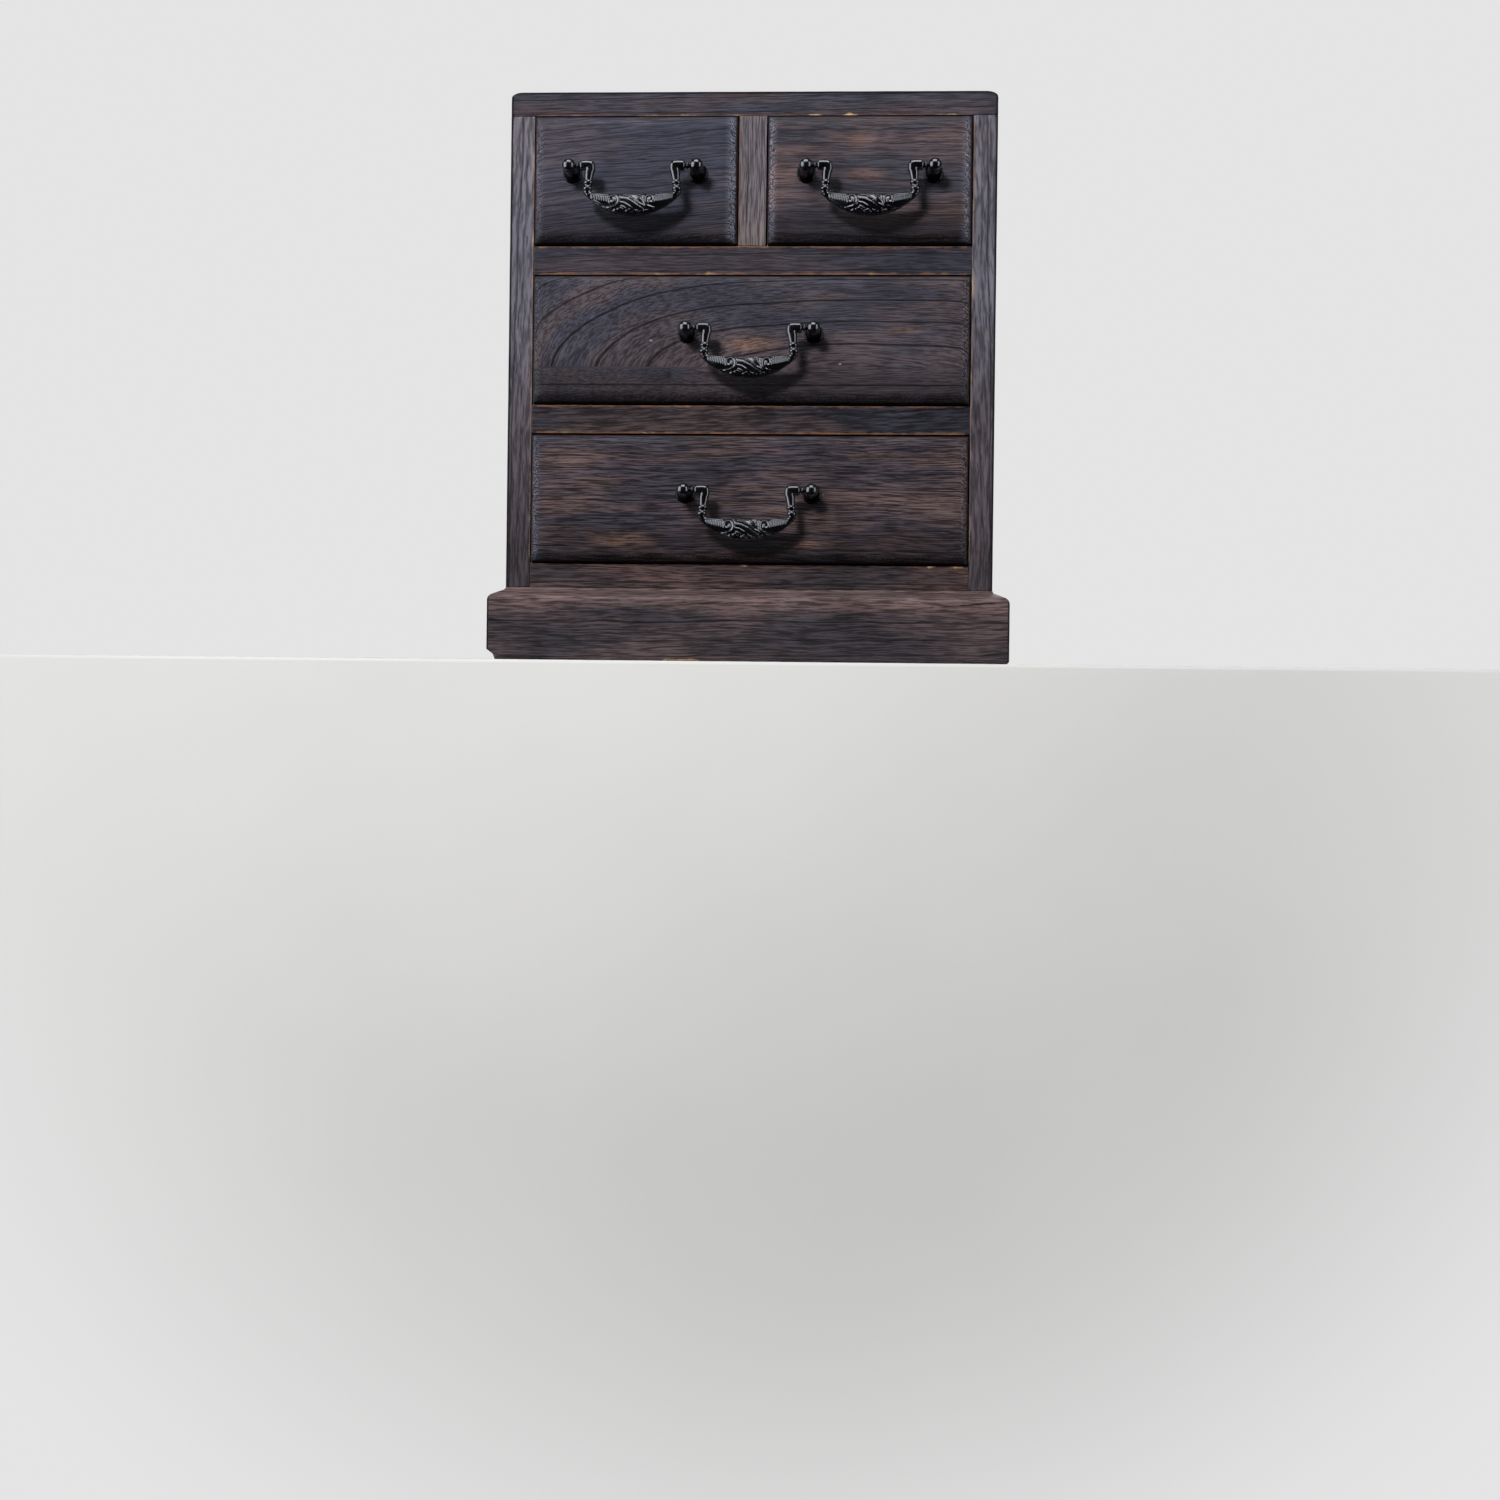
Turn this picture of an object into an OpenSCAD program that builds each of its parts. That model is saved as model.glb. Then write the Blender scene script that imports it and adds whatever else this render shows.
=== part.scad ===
// Small Japanese drawer chest in burnt paulownia wood.
// Two small drawers stand over two wide ones, on a moulded plinth, and each has a cast bail pull.
// The front faces -Y, the floor is z = 0, and x = 0 is the middle of the chest.

/* [Carcass] */
// Width across the two side boards
body_w = 248; // [220:1:400]
// Depth from the front edges of the boards to the outside of the back panel
body_d = 200; // [150:1:320]
// Thickness of the side boards
side_t = 12.4; // [10:0.1:18]
// Thickness of the top board
top_t = 12.4; // [10:0.1:18]
// Width of the rounding on the top board's left and right edges
top_round_w = 6; // [2:0.5:6]
// Height of that rounding
top_round_h = 3; // [1:0.5:6]
// Thickness of the bottom board, whose front edge shows over the plinth
bottom_t = 12.5; // [8:0.5:16]
// Height of the rails between the drawer rows
rail_h = 14.8; // [12:0.1:24]
// Depth of the rails, front to back
rail_d = 24; // [20:1:50]
// Thickness of the dust boards behind the rails
dust_board_t = 5; // [4:0.5:7]
// Thickness of the upright partition between the two upper drawers
partition_t = 14.2; // [12:0.1:24]
// How far the partition stands to the right of the middle
partition_x = 0; // [-20:0.5:20]
// Thickness of the back panel
back_t = 5; // [4:0.5:8]
// Height of the opening for the lower drawer
lower_h = 66.2; // [56:0.1:120]
// Height of the opening for the middle drawer
middle_h = 66.2; // [56:0.1:120]
// Height of the openings for the two upper drawers
upper_h = 66.2; // [56:0.1:120]

/* [Carcass joints] */
// Depth of the housings that the side boards have for rails and boards
housing = 4; // [3:0.5:6]
// How far the housings stay behind the front edges
housing_stop = 10; // [6:1:14]
// Thickness of the tongues on the bottom board and the partition
tongue_t = 5; // [4:0.5:6]
// Height of the partition's tongues
partition_tongue = 2; // [1:0.5:2.5]
// Shoulder above and below the rails' tenons
tenon_shoulder = 3; // [2:0.5:4]
// How far a dust board laps onto its rail
dust_board_lap = 6; // [4:0.5:8]
// Width of the rebate that holds the back panel
rebate_w = 6; // [4:0.5:8]
// Gap left for glue inside a joint
glue_gap = 0.05; // [0.02:0.01:0.15]
// Diameter of the wooden pegs
peg_dia = 3.2; // [2.4:0.1:4]
// How far a peg reaches into the second board
peg_bite = 14; // [8:1:20]
// Diameter of the bamboo nails in the back panel and the drawers
nail_dia = 2; // [1.4:0.1:2.6]
// How far a bamboo nail reaches into the second board
nail_bite = 9; // [5:1:12]
// Distance from a corner to the first peg or nail
peg_inset = 20; // [16:1:30]

/* [Plinth] */
// Height of the plinth to the top of its moulding
plinth_h = 37.5; // [30:0.5:70]
// How far the plinth stands out from the front and the sides
plinth_out = 8; // [6:0.5:16]
// Thickness of the plinth boards
plinth_t = 22; // [18:1:36]
// Radius of the small cove under the carcass
plinth_cove = 1.6; // [1:0.1:3]
// Fall of the slope along the upper edge, in degrees
plinth_slope = 26; // [15:1:40]
// Radius of the rounding between that slope and the face
plinth_nose = 4; // [2:0.1:5]
// Chamfer along the lower edge
plinth_chamfer = 2.5; // [1:0.5:5]
// Length of each leg of the glue blocks in the corners
block_leg = 24; // [14:1:40]
// Height of the glue blocks' lower ends above the floor
block_lift = 8; // [4:1:16]

/* [Drawers] */
// Thickness of the drawer fronts
front_t = 14; // [12:0.5:20]
// How far the drawer fronts stand out of the carcass
front_proud = 5; // [3:0.5:6]
// How far the square edge under the rounding stands out
edge_proud = 2; // [1:0.5:2.5]
// Width of the rounding round the front
bevel_w = 6; // [3:0.5:10]
// Gap at the left and right of a drawer
gap_side = 0.6; // [0.3:0.1:1.5]
// Gap under a drawer
gap_under = 0.3; // [0.2:0.1:1]
// Gap over a drawer
gap_over = 0.9; // [0.3:0.1:2]
// Thickness of the drawer sides
drawer_side_t = 6; // [5:0.5:9]
// Thickness of the drawer backs
drawer_back_t = 6; // [5:0.5:9]
// Thickness of the drawer bottoms
drawer_bottom_t = 4; // [3:0.5:6]
// Height of the bottom's groove above the lower edge
bottom_raise = 3; // [2:0.5:6]
// Depth of the bottom's groove
groove = 3; // [2:0.5:4]
// How much lower the drawer sides are than the front
side_drop = 1; // [0:0.5:6]
// Depth of the rebate in the front that takes the drawer side
front_lap = 7; // [5:0.5:8]
// Depth of the stop blocks behind the drawers
stop_d = 12; // [6:1:30]
// Width of the stop blocks
stop_w = 14; // [8:1:24]
// Height of the stop blocks
stop_h = 10; // [6:1:20]
// Gap between a closed drawer and its stops
stop_gap = 0.3; // [0.1:0.1:1]

/* [Handles] */
// Distance between the two posts of a handle
post_span = 64; // [64:1:76]
// How far the handles sit above the middle of the drawer fronts
handle_lift = 2.3; // [-4:0.1:6]
// Diameter of a post's foot
post_foot_dia = 10.3; // [9:0.1:13]
// Thickness of the foot's rim
post_rim = 0.8; // [0.5:0.1:1.5]
// Diameter of a post's neck
post_neck_dia = 5.6; // [5.2:0.1:6.4]
// Diameter of the ball on a post
ball_dia = 6.8; // [6.4:0.1:8]
// Distance from the drawer front to the middle of the ball
ball_stand = 13.2; // [12:0.1:18]
// Diameter of the pivot pins at the ends of the bail
pin_dia = 2.4; // [1.8:0.1:2.8]
// Radial gap round the pivot pins
pin_gap = 0.05; // [0.02:0.01:0.1]
// How far a pin reaches past the middle of its ball
pin_past = 1; // [0.2:0.1:1.2]
// Gap between a ball and the bead on the bail
bead_gap = 0.5; // [0.3:0.1:1]
// Diameter of the bead
bead_dia = 3.2; // [3:0.1:4]
// Length of the pin that shows between the bead and the arm
bead_neck = 0.3; // [0.2:0.1:0.8]
// Diameter of the bail's arms
arm_dia = 4.6; // [3.6:0.1:5.4]
// Chamfer on the arms' ends
arm_edge = 0.5; // [0.2:0.1:0.8]
// Diameter of the bail's legs at the rings
leg_dia = 3.8; // [3:0.1:4.6]
// Distance between the legs at the top
leg_span = 42.2; // [40:0.1:44]
// How much further apart the legs stand at the rings
leg_splay = 1.8; // [0:0.1:3]
// Diameter of the rings on the legs
ring_dia = 4.8; // [4.2:0.1:5.6]
// Thickness of a ring
ring_t = 1.7; // [1.2:0.1:2.2]
// Distance from the pivot down to the upper ring
ring_drop = 8.1; // [6:0.1:9]
// Distance from the upper ring to the lower ring
ring_pitch = 3; // [2.4:0.1:3.4]
// Distance from the lower ring down to the inner corner between leg and grip
leg_edge = 0.6; // [0.2:0.1:1.2]
// Width of the grip
grip_w = 49; // [46:0.5:52]
// Distance from the pivot down to the grip's upper edge
grip_top = 14.5; // [14:0.1:16]
// Distance from the pivot down to the grip's tips
grip_tip = 14; // [13:0.1:15]
// Distance from the pivot down to the grip's lowest point
grip_low = 25.1; // [22:0.1:28]
// Depth of the grip, front to back
grip_depth = 7; // [5:0.5:8]
// Diameter of the handle screws
screw_dia = 4; // [3:0.5:4]
// Clearance of the screw holes in the drawer fronts
screw_gap = 0.2; // [0.1:0.05:0.5]
// How far the screws reach into the posts
screw_bite = 7; // [5:0.5:8]
// Diameter of the screw heads
screw_head_dia = 8; // [7:0.5:9]
// Height of the screw heads
screw_head_h = 2.6; // [2:0.1:3.5]
// Width of the slot in a screw head
screw_slot_w = 1; // [0.8:0.1:1.2]
// Depth of that slot
screw_slot_h = 1.3; // [1:0.1:1.6]
// Room between a screw's tip and the end of its bore
screw_tip_gap = 0.5; // [0.2:0.1:1]

/* [Hidden] */
DRAWERS = ["upper_left_drawer", "upper_right_drawer", "middle_drawer", "lower_drawer"];
PIECES = [
    "front", "side_left", "side_right", "back", "bottom", "nails", "handle_posts", "handle_screws", "bail"
];
CARCASS = [
    "top_board", "side_left", "side_right", "bottom_board", "lower_rail", "upper_rail",
    "lower_dust_board", "upper_dust_board", "partition", "back_panel", "back_nails",
    "top_pegs", "side_pegs", "drawer_stops",
    "plinth_front", "plinth_left", "plinth_right", "plinth_back", "plinth_blocks"
];
$fn = 48;

// Overshoot of a cutting body past the face that it cuts
cut = 1;
// Steps in a quarter circle where an outline is drawn with points
arc_steps = 8;

// Front to back: the handles and the carcass together are centred on y = 0
front_reach = front_proud + ball_stand + max(ball_dia, grip_depth) / 2;
front_y = (front_reach - body_d) / 2;
back_y = front_y + body_d;
panel_y = back_y - back_t;
rail_back_y = front_y + rail_d;
face_y = front_y - front_proud;
inner_face_y = face_y + front_t;
drawer_rear_y = panel_y - stop_d - stop_gap;
pivot_y = face_y - ball_stand;

// Upwards
lower_z = plinth_h + bottom_t;
rail_1_z = lower_z + lower_h;
middle_z = rail_1_z + rail_h;
rail_2_z = middle_z + middle_h;
upper_z = rail_2_z + rail_h;
top_z = upper_z + upper_h;
total_h = top_z + top_t;

// Sideways
half_w = body_w / 2;
inner_x = half_w - side_t;
partition_left = partition_x - partition_t / 2;
partition_right = partition_x + partition_t / 2;
plinth_lap = plinth_t - plinth_out;

// The opening of each drawer, in the order of DRAWERS
open_x0 = [-inner_x, partition_right, -inner_x, -inner_x];
open_x1 = [partition_left, inner_x, inner_x, inner_x];
open_z0 = [upper_z, upper_z, middle_z, lower_z];
open_h = [upper_h, upper_h, middle_h, lower_h];

// The outside of each drawer, in the same order
low_x = [for (x = open_x0) x + gap_side];
high_x = [for (x = open_x1) x - gap_side];
low_z = [for (z = open_z0) z + gap_under];
high_z = [for (d = [0:3]) open_z0[d] + open_h[d] - gap_over];
mid_x = (low_x + high_x) / 2;
handle_z = [for (d = [0:3]) (low_z[d] + high_z[d]) / 2 + handle_lift];
side_top_z = [for (z = high_z) z - side_drop];
floor_z = [for (z = low_z) z + bottom_raise + drawer_bottom_t];

// The rounding round a drawer front is an arc that meets the flat field smoothly
bevel_h = front_proud - edge_proud;
bevel_r = (pow(bevel_w, 2) + pow(bevel_h, 2)) / (2 * bevel_h);
bevel_angle = asin(min(1, bevel_w / bevel_r));

// The bail, sideways and down from its pivot
arm_r = arm_dia / 2;
leg_r = leg_dia / 2;
elbow_x = leg_span / 2;
bead_x = (post_span - ball_dia - bead_dia) / 2 - bead_gap;
arm_end_x = bead_x - bead_dia / 2 - bead_neck;
rings_end = ring_drop + ring_pitch + ring_t / 2;
grip_drop = grip_low - grip_tip;
grip_r = (pow(grip_w / 2, 2) + pow(grip_drop, 2)) / (2 * grip_drop);
// Share of half the grip over which its upper edge comes down from the leg
grip_corner = 0.5;

// Steps in the elbow, in one side of a ring and in half of the grip, and sides of the tube
elbow_steps = 4;
ring_steps = 2;
grip_steps = 11;
tube_sides = 12;

BURNT = "#3b3840";
BURNT_WARM = "#463c40";
RAW = "#b89c78";
BAMBOO = "#a98a5c";
IRON = "#17181b";
STEEL = "#8d9096";

function arc(centre, r, from, to) = [
    for (i = [0:arc_steps])
    let (a = from + (to - from) * i / arc_steps)
    centre + r * [cos(a), sin(a)]
];

module block(low, high) {
    translate(low) cube(high - low);
}

// A round peg along +Z whose head is flush with z = 0 and whose tip points down
module peg(dia, reach) {
    translate([0, 0, -reach]) cylinder(h = reach, d = dia);
}

module peg_hole(dia, reach) {
    translate([0, 0, -reach - glue_gap]) cylinder(h = reach + glue_gap + cut, d = dia + 2 * glue_gap);
}

// Places of the pegs down through the top board into the side boards
module at_top_pegs() {
    for (side = [-1, 1]) {
        for (y = [front_y + peg_inset, (front_y + back_y) / 2, back_y - peg_inset]) {
            translate([side * (half_w - side_t / 2), y, total_h]) children();
        }
    }
}

// Places of the pegs in through the side boards into the rails and the bottom board
module at_side_pegs() {
    rail_y = front_y + (housing_stop + rail_d - dust_board_lap) / 2;
    board_z = plinth_h + bottom_t / 2;
    spots = [
        [rail_y, rail_1_z + rail_h / 2],
        [rail_y, rail_2_z + rail_h / 2],
        [front_y + peg_inset, board_z],
        [(front_y + back_y) / 2, board_z],
        [back_y - peg_inset, board_z]
    ];
    for (side = [-1, 1]) {
        for (spot = spots) {
            translate([side * half_w, spot[0], spot[1]]) rotate([0, side * 90, 0]) children();
        }
    }
}

// Places of the bamboo nails in the back panel
module at_back_nails() {
    edge_x = inner_x + rebate_w / 2;
    heights = [lower_z + lower_h / 2, middle_z + middle_h / 2, upper_z + upper_h / 2];
    shelves = [
        plinth_h + bottom_t / 2,
        middle_z - dust_board_t / 2,
        upper_z - dust_board_t / 2,
        top_z + rebate_w / 2
    ];
    spots = concat(
        [for (side = [-1, 1]) for (z = heights) [side * edge_x, z]],
        [for (side = [-1, 1]) for (z = shelves) [side * inner_x / 2, z]]
    );
    for (spot = spots) {
        translate([spot[0], back_y, spot[1]]) rotate([-90, 0, 0]) children();
    }
}

module top_board() {
    round_x = half_w - top_round_w;
    round_z = total_h - top_round_h;
    right = [
        for (p = arc([0, 0], 1, 90, 0))
        [round_x + top_round_w * p[0], round_z + top_round_h * p[1]]
    ];
    left = [for (i = [arc_steps:-1:0]) [-right[i][0], right[i][1]]];
    color(BURNT)
    difference() {
        translate([0, back_y, 0])
        rotate([90, 0, 0])
        linear_extrude(height = body_d)
        polygon(concat([[half_w, top_z], [-half_w, top_z]], left, right));
        block(
            [-inner_x - rebate_w, panel_y, top_z - cut],
            [inner_x + rebate_w, back_y + cut, top_z + rebate_w]
        );
        partition_groove(top_z - cut, top_z + partition_tongue);
        at_top_pegs() peg_hole(peg_dia, top_t + peg_bite);
        at_back_nails() peg_hole(nail_dia, back_t + nail_bite);
    }
}

// The groove that takes a tongue of the partition
module partition_groove(from_z, to_z) {
    block(
        [partition_x - tongue_t / 2, front_y + housing_stop, from_z],
        [partition_x + tongue_t / 2, panel_y + cut, to_z]
    );
}

// The right-hand side board; the left one is its mirror image
module side_board() {
    tongue_z = plinth_h + (bottom_t - tongue_t) / 2;
    color(BURNT)
    difference() {
        block([inner_x, front_y, plinth_h], [half_w, back_y, top_z]);
        block([inner_x - cut, panel_y, plinth_h - cut], [inner_x + rebate_w, back_y + cut, top_z + cut]);
        block(
            [inner_x - cut, front_y + housing_stop, tongue_z],
            [inner_x + housing, panel_y + cut, tongue_z + tongue_t]
        );
        for (z = [rail_1_z, rail_2_z]) {
            block(
                [inner_x - cut, front_y + housing_stop, z + tenon_shoulder],
                [inner_x + housing, rail_back_y - dust_board_lap, z + rail_h - tenon_shoulder]
            );
            block(
                [inner_x - cut, rail_back_y - dust_board_lap, z + rail_h - dust_board_t],
                [inner_x + housing, panel_y + cut, z + rail_h]
            );
        }
        at_side_pegs() peg_hole(peg_dia, side_t + peg_bite);
        at_top_pegs() peg_hole(peg_dia, top_t + peg_bite);
        at_back_nails() peg_hole(nail_dia, back_t + nail_bite);
    }
}

module side_right() {
    side_board();
}

module side_left() {
    mirror([1, 0, 0]) side_board();
}

module bottom_board() {
    tongue_x = inner_x + housing - glue_gap;
    tongue_z = plinth_h + (bottom_t - tongue_t) / 2;
    color(BURNT_WARM)
    difference() {
        union() {
            block([-inner_x, front_y, plinth_h], [inner_x, panel_y, lower_z]);
            block(
                [-tongue_x, front_y + housing_stop + glue_gap, tongue_z + glue_gap],
                [tongue_x, panel_y, tongue_z + tongue_t - glue_gap]
            );
        }
        at_side_pegs() peg_hole(peg_dia, side_t + peg_bite);
        at_back_nails() peg_hole(nail_dia, back_t + nail_bite);
    }
}

// A rail whose underside is at the given height, with a tenon at each end and a lap for the dust board
module rail(z) {
    tenon_x = inner_x + housing - glue_gap;
    lap_y = rail_back_y - dust_board_lap;
    color(BURNT)
    difference() {
        union() {
            block([-inner_x, front_y, z], [inner_x, rail_back_y, z + rail_h]);
            block(
                [-tenon_x, front_y + housing_stop + glue_gap, z + tenon_shoulder + glue_gap],
                [tenon_x, lap_y - glue_gap, z + rail_h - tenon_shoulder - glue_gap]
            );
        }
        block(
            [-inner_x - cut, lap_y, z + rail_h - dust_board_t],
            [inner_x + cut, rail_back_y + cut, z + rail_h + cut]
        );
        at_side_pegs() peg_hole(peg_dia, side_t + peg_bite);
    }
}

module lower_rail() {
    rail(rail_1_z);
}

module upper_rail() {
    difference() {
        rail(rail_2_z);
        partition_groove(upper_z - partition_tongue, upper_z + cut);
    }
}

// A thin board that closes the space between two drawer rows behind its rail
module dust_board(z) {
    end_x = inner_x + housing - glue_gap;
    color(RAW)
    difference() {
        block(
            [-end_x, rail_back_y - dust_board_lap + glue_gap, z + rail_h - dust_board_t + glue_gap],
            [end_x, panel_y, z + rail_h - glue_gap]
        );
        at_back_nails() peg_hole(nail_dia, back_t + nail_bite);
    }
}

module lower_dust_board() {
    dust_board(rail_1_z);
}

module upper_dust_board() {
    difference() {
        dust_board(rail_2_z);
        partition_groove(upper_z - partition_tongue, upper_z + cut);
    }
}

module partition() {
    tongue = partition_tongue - glue_gap;
    color(BURNT_WARM)
    union() {
        block([partition_left, front_y, upper_z], [partition_right, panel_y, top_z]);
        block(
            [partition_x - tongue_t / 2 + glue_gap, front_y + housing_stop + glue_gap, upper_z - tongue],
            [partition_x + tongue_t / 2 - glue_gap, panel_y, top_z + tongue]
        );
    }
}

module back_panel() {
    edge_x = inner_x + rebate_w - glue_gap;
    color(RAW)
    difference() {
        block([-edge_x, panel_y, plinth_h], [edge_x, back_y, top_z + rebate_w - glue_gap]);
        at_back_nails() peg_hole(nail_dia, back_t + nail_bite);
    }
}

module back_nails() {
    color(BAMBOO) at_back_nails() peg(nail_dia, back_t + nail_bite);
}

module top_pegs() {
    color(BAMBOO) at_top_pegs() peg(peg_dia, top_t + peg_bite);
}

module side_pegs() {
    color(BAMBOO) at_side_pegs() peg(peg_dia, side_t + peg_bite);
}

// Two blocks on the board behind each drawer
module drawer_stops() {
    color(RAW)
    for (d = [0:3]) {
        for (x = [low_x[d] + drawer_side_t, high_x[d] - drawer_side_t - stop_w]) {
            block(
                [x, drawer_rear_y + stop_gap, open_z0[d]],
                [x + stop_w, panel_y, open_z0[d] + stop_h]
            );
        }
    }
}

// Outline of the plinth: x is the distance out of the carcass, y is the height. A small cove leads into a slope, and
// a rounding leads from the slope to the face.
module plinth_outline() {
    cove = arc([plinth_cove, plinth_h], plinth_cove, 270 - plinth_slope, 180);
    slope_end = plinth_out - plinth_nose * (1 - sin(plinth_slope));
    slope_fall = (slope_end - cove[0][0]) * tan(plinth_slope);
    nose_z = cove[0][1] - slope_fall - plinth_nose * cos(plinth_slope);
    polygon(concat(
        [[-plinth_lap, 0], [plinth_out - plinth_chamfer, 0], [plinth_out, plinth_chamfer]],
        arc([plinth_out - plinth_nose, nose_z], plinth_nose, 0, 90 - plinth_slope),
        cove,
        [[-plinth_lap, plinth_h]]
    ));
}

module plinth_front() {
    outer = half_w + plinth_out;
    inner = half_w - plinth_lap;
    color(BURNT_WARM)
    intersection() {
        translate([-outer, front_y, 0])
        rotate([90, 0, 90])
        mirror([1, 0, 0])
        linear_extrude(height = 2 * outer)
        plinth_outline();
        translate([0, front_y, 0])
        linear_extrude(height = plinth_h)
        polygon([
            [-outer, -plinth_out],
            [outer, -plinth_out],
            [inner, plinth_lap],
            [-inner, plinth_lap]
        ]);
    }
}

// The right-hand plinth board; the left one is its mirror image
module plinth_side() {
    outer = half_w + plinth_out;
    inner = half_w - plinth_lap;
    color(BURNT_WARM)
    intersection() {
        translate([half_w, back_y, 0])
        rotate([90, 0, 0])
        linear_extrude(height = body_d + plinth_out)
        plinth_outline();
        translate([0, front_y, 0])
        linear_extrude(height = plinth_h)
        polygon([[outer, -plinth_out], [outer, body_d], [inner, body_d], [inner, plinth_lap]]);
    }
}

module plinth_right() {
    plinth_side();
}

module plinth_left() {
    mirror([1, 0, 0]) plinth_side();
}

module plinth_back() {
    inner = half_w - plinth_lap;
    color(BURNT_WARM)
    block([-inner, back_y - plinth_lap, 0], [inner, back_y, plinth_h]);
}

// Triangular blocks glued into the corners of the plinth, under the bottom board
module plinth_blocks() {
    inner = half_w - plinth_lap;
    color(RAW)
    for (side = [-1, 1]) {
        for (end = [-1, 1]) {
            corner_y = (end < 0) ? front_y + plinth_lap : back_y - plinth_lap;
            translate([0, 0, block_lift])
            linear_extrude(height = plinth_h - block_lift)
            polygon([
                [side * inner, corner_y],
                [side * (inner - block_leg), corner_y],
                [side * inner, corner_y - end * block_leg]
            ]);
        }
    }
}

// Outline of a drawer front across one of its sizes, from low to high, with y as depth
module front_outline(low, high) {
    curve = arc([bevel_w, face_y + bevel_r], bevel_r, 270, 270 - bevel_angle);
    polygon(concat(
        [for (p = curve) [low + p[0], p[1]]],
        [[low, inner_face_y], [high, inner_face_y]],
        [for (i = [arc_steps:-1:0]) [high - curve[i][0], curve[i][1]]]
    ));
}

// Places of the bamboo nails that hold a drawer's sides to its front and back
module at_drawer_nails(d) {
    middle = (low_z[d] + high_z[d]) / 2;
    rise = (high_z[d] - low_z[d]) / 4;
    for (side = [-1, 1]) {
        for (y = [inner_face_y - front_lap / 2, drawer_rear_y - drawer_back_t / 2]) {
            for (z = [middle - rise, middle + rise]) {
                translate([side < 0 ? low_x[d] : high_x[d], y, z])
                rotate([0, side * 90, 0])
                children();
            }
        }
    }
}

// Places of the bamboo nails up through a drawer's bottom into its back
module at_bottom_nails(d) {
    for (x = [low_x[d] + peg_inset, high_x[d] - peg_inset]) {
        translate([x, drawer_rear_y - drawer_back_t / 2, low_z[d] + bottom_raise + glue_gap])
        rotate([180, 0, 0])
        children();
    }
}

// Places of a drawer's two posts, with +Z pointing out of the front and +X to the middle of the handle
module at_posts(d) {
    for (side = [-1, 1]) {
        translate([mid_x[d] + side * post_span / 2, face_y, handle_z[d]])
        rotate([90, side > 0 ? 180 : 0, 0])
        children();
    }
}

module drawer_front(d) {
    groove_z = low_z[d] + bottom_raise;
    color(BURNT)
    difference() {
        intersection() {
            translate([0, 0, low_z[d]])
            linear_extrude(height = high_z[d] - low_z[d])
            front_outline(low_x[d], high_x[d]);
            translate([low_x[d], 0, 0])
            rotate([90, 0, 90])
            linear_extrude(height = high_x[d] - low_x[d])
            rotate(90)
            mirror([0, 1])
            front_outline(low_z[d], high_z[d]);
        }
        for (x = [low_x[d] - cut, high_x[d] - drawer_side_t]) {
            block(
                [x, inner_face_y - front_lap, low_z[d] - cut],
                [x + drawer_side_t + cut, inner_face_y + cut, high_z[d] + cut]
            );
        }
        block(
            [low_x[d] + drawer_side_t - cut, inner_face_y - groove, groove_z],
            [high_x[d] - drawer_side_t + cut, inner_face_y + cut, groove_z + drawer_bottom_t]
        );
        at_posts(d)
        translate([0, 0, -front_t - cut])
        cylinder(h = front_t + 2 * cut, d = screw_dia + 2 * screw_gap);
        at_drawer_nails(d) peg_hole(nail_dia, drawer_side_t + nail_bite);
    }
}

// A drawer side standing from x to x + drawer_side_t, with its groove on the side that faces inward
module drawer_side(d, x, inward) {
    groove_x = (inward > 0) ? x + drawer_side_t - groove : x - cut;
    groove_z = low_z[d] + bottom_raise;
    color(RAW)
    difference() {
        block(
            [x, inner_face_y - front_lap + glue_gap, low_z[d]],
            [x + drawer_side_t, drawer_rear_y, side_top_z[d]]
        );
        block(
            [groove_x, inner_face_y - front_lap - cut, groove_z],
            [groove_x + groove + cut, drawer_rear_y + cut, groove_z + drawer_bottom_t]
        );
        at_drawer_nails(d) peg_hole(nail_dia, drawer_side_t + nail_bite);
    }
}

module drawer_side_left(d) {
    drawer_side(d, low_x[d], 1);
}

module drawer_side_right(d) {
    drawer_side(d, high_x[d] - drawer_side_t, -1);
}

module drawer_back(d) {
    color(RAW)
    difference() {
        block(
            [low_x[d] + drawer_side_t, drawer_rear_y - drawer_back_t, floor_z[d]],
            [high_x[d] - drawer_side_t, drawer_rear_y, side_top_z[d]]
        );
        at_drawer_nails(d) peg_hole(nail_dia, drawer_side_t + nail_bite);
        at_bottom_nails(d) peg_hole(nail_dia, drawer_bottom_t + nail_bite);
    }
}

module drawer_bottom(d) {
    edge = drawer_side_t - groove + glue_gap;
    color(RAW)
    difference() {
        block(
            [low_x[d] + edge, inner_face_y - groove + glue_gap, low_z[d] + bottom_raise + glue_gap],
            [high_x[d] - edge, drawer_rear_y, floor_z[d] - glue_gap]
        );
        at_bottom_nails(d) peg_hole(nail_dia, drawer_bottom_t + nail_bite);
    }
}

module drawer_nails(d) {
    color(BAMBOO) {
        at_drawer_nails(d) peg(nail_dia, drawer_side_t + nail_bite);
        at_bottom_nails(d) peg(nail_dia, drawer_bottom_t + nail_bite);
    }
}

// Outline of a post from its axis out: a rimmed foot, a bell and a thin neck under the ball
function post_outline() =
    let (
        foot = post_foot_dia / 2,
        neck = post_neck_dia / 2,
        bell_w = foot - neck,
        bell_h = ball_stand - ball_dia / 2 - post_rim
    )
    concat(
        [[0, 0], [foot, 0]],
        [for (p = arc([1, 1], 1, 180, 270)) [neck + bell_w * p[1], post_rim + bell_h * p[0]]],
        [[neck, ball_stand], [0, ball_stand]]
    );

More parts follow.
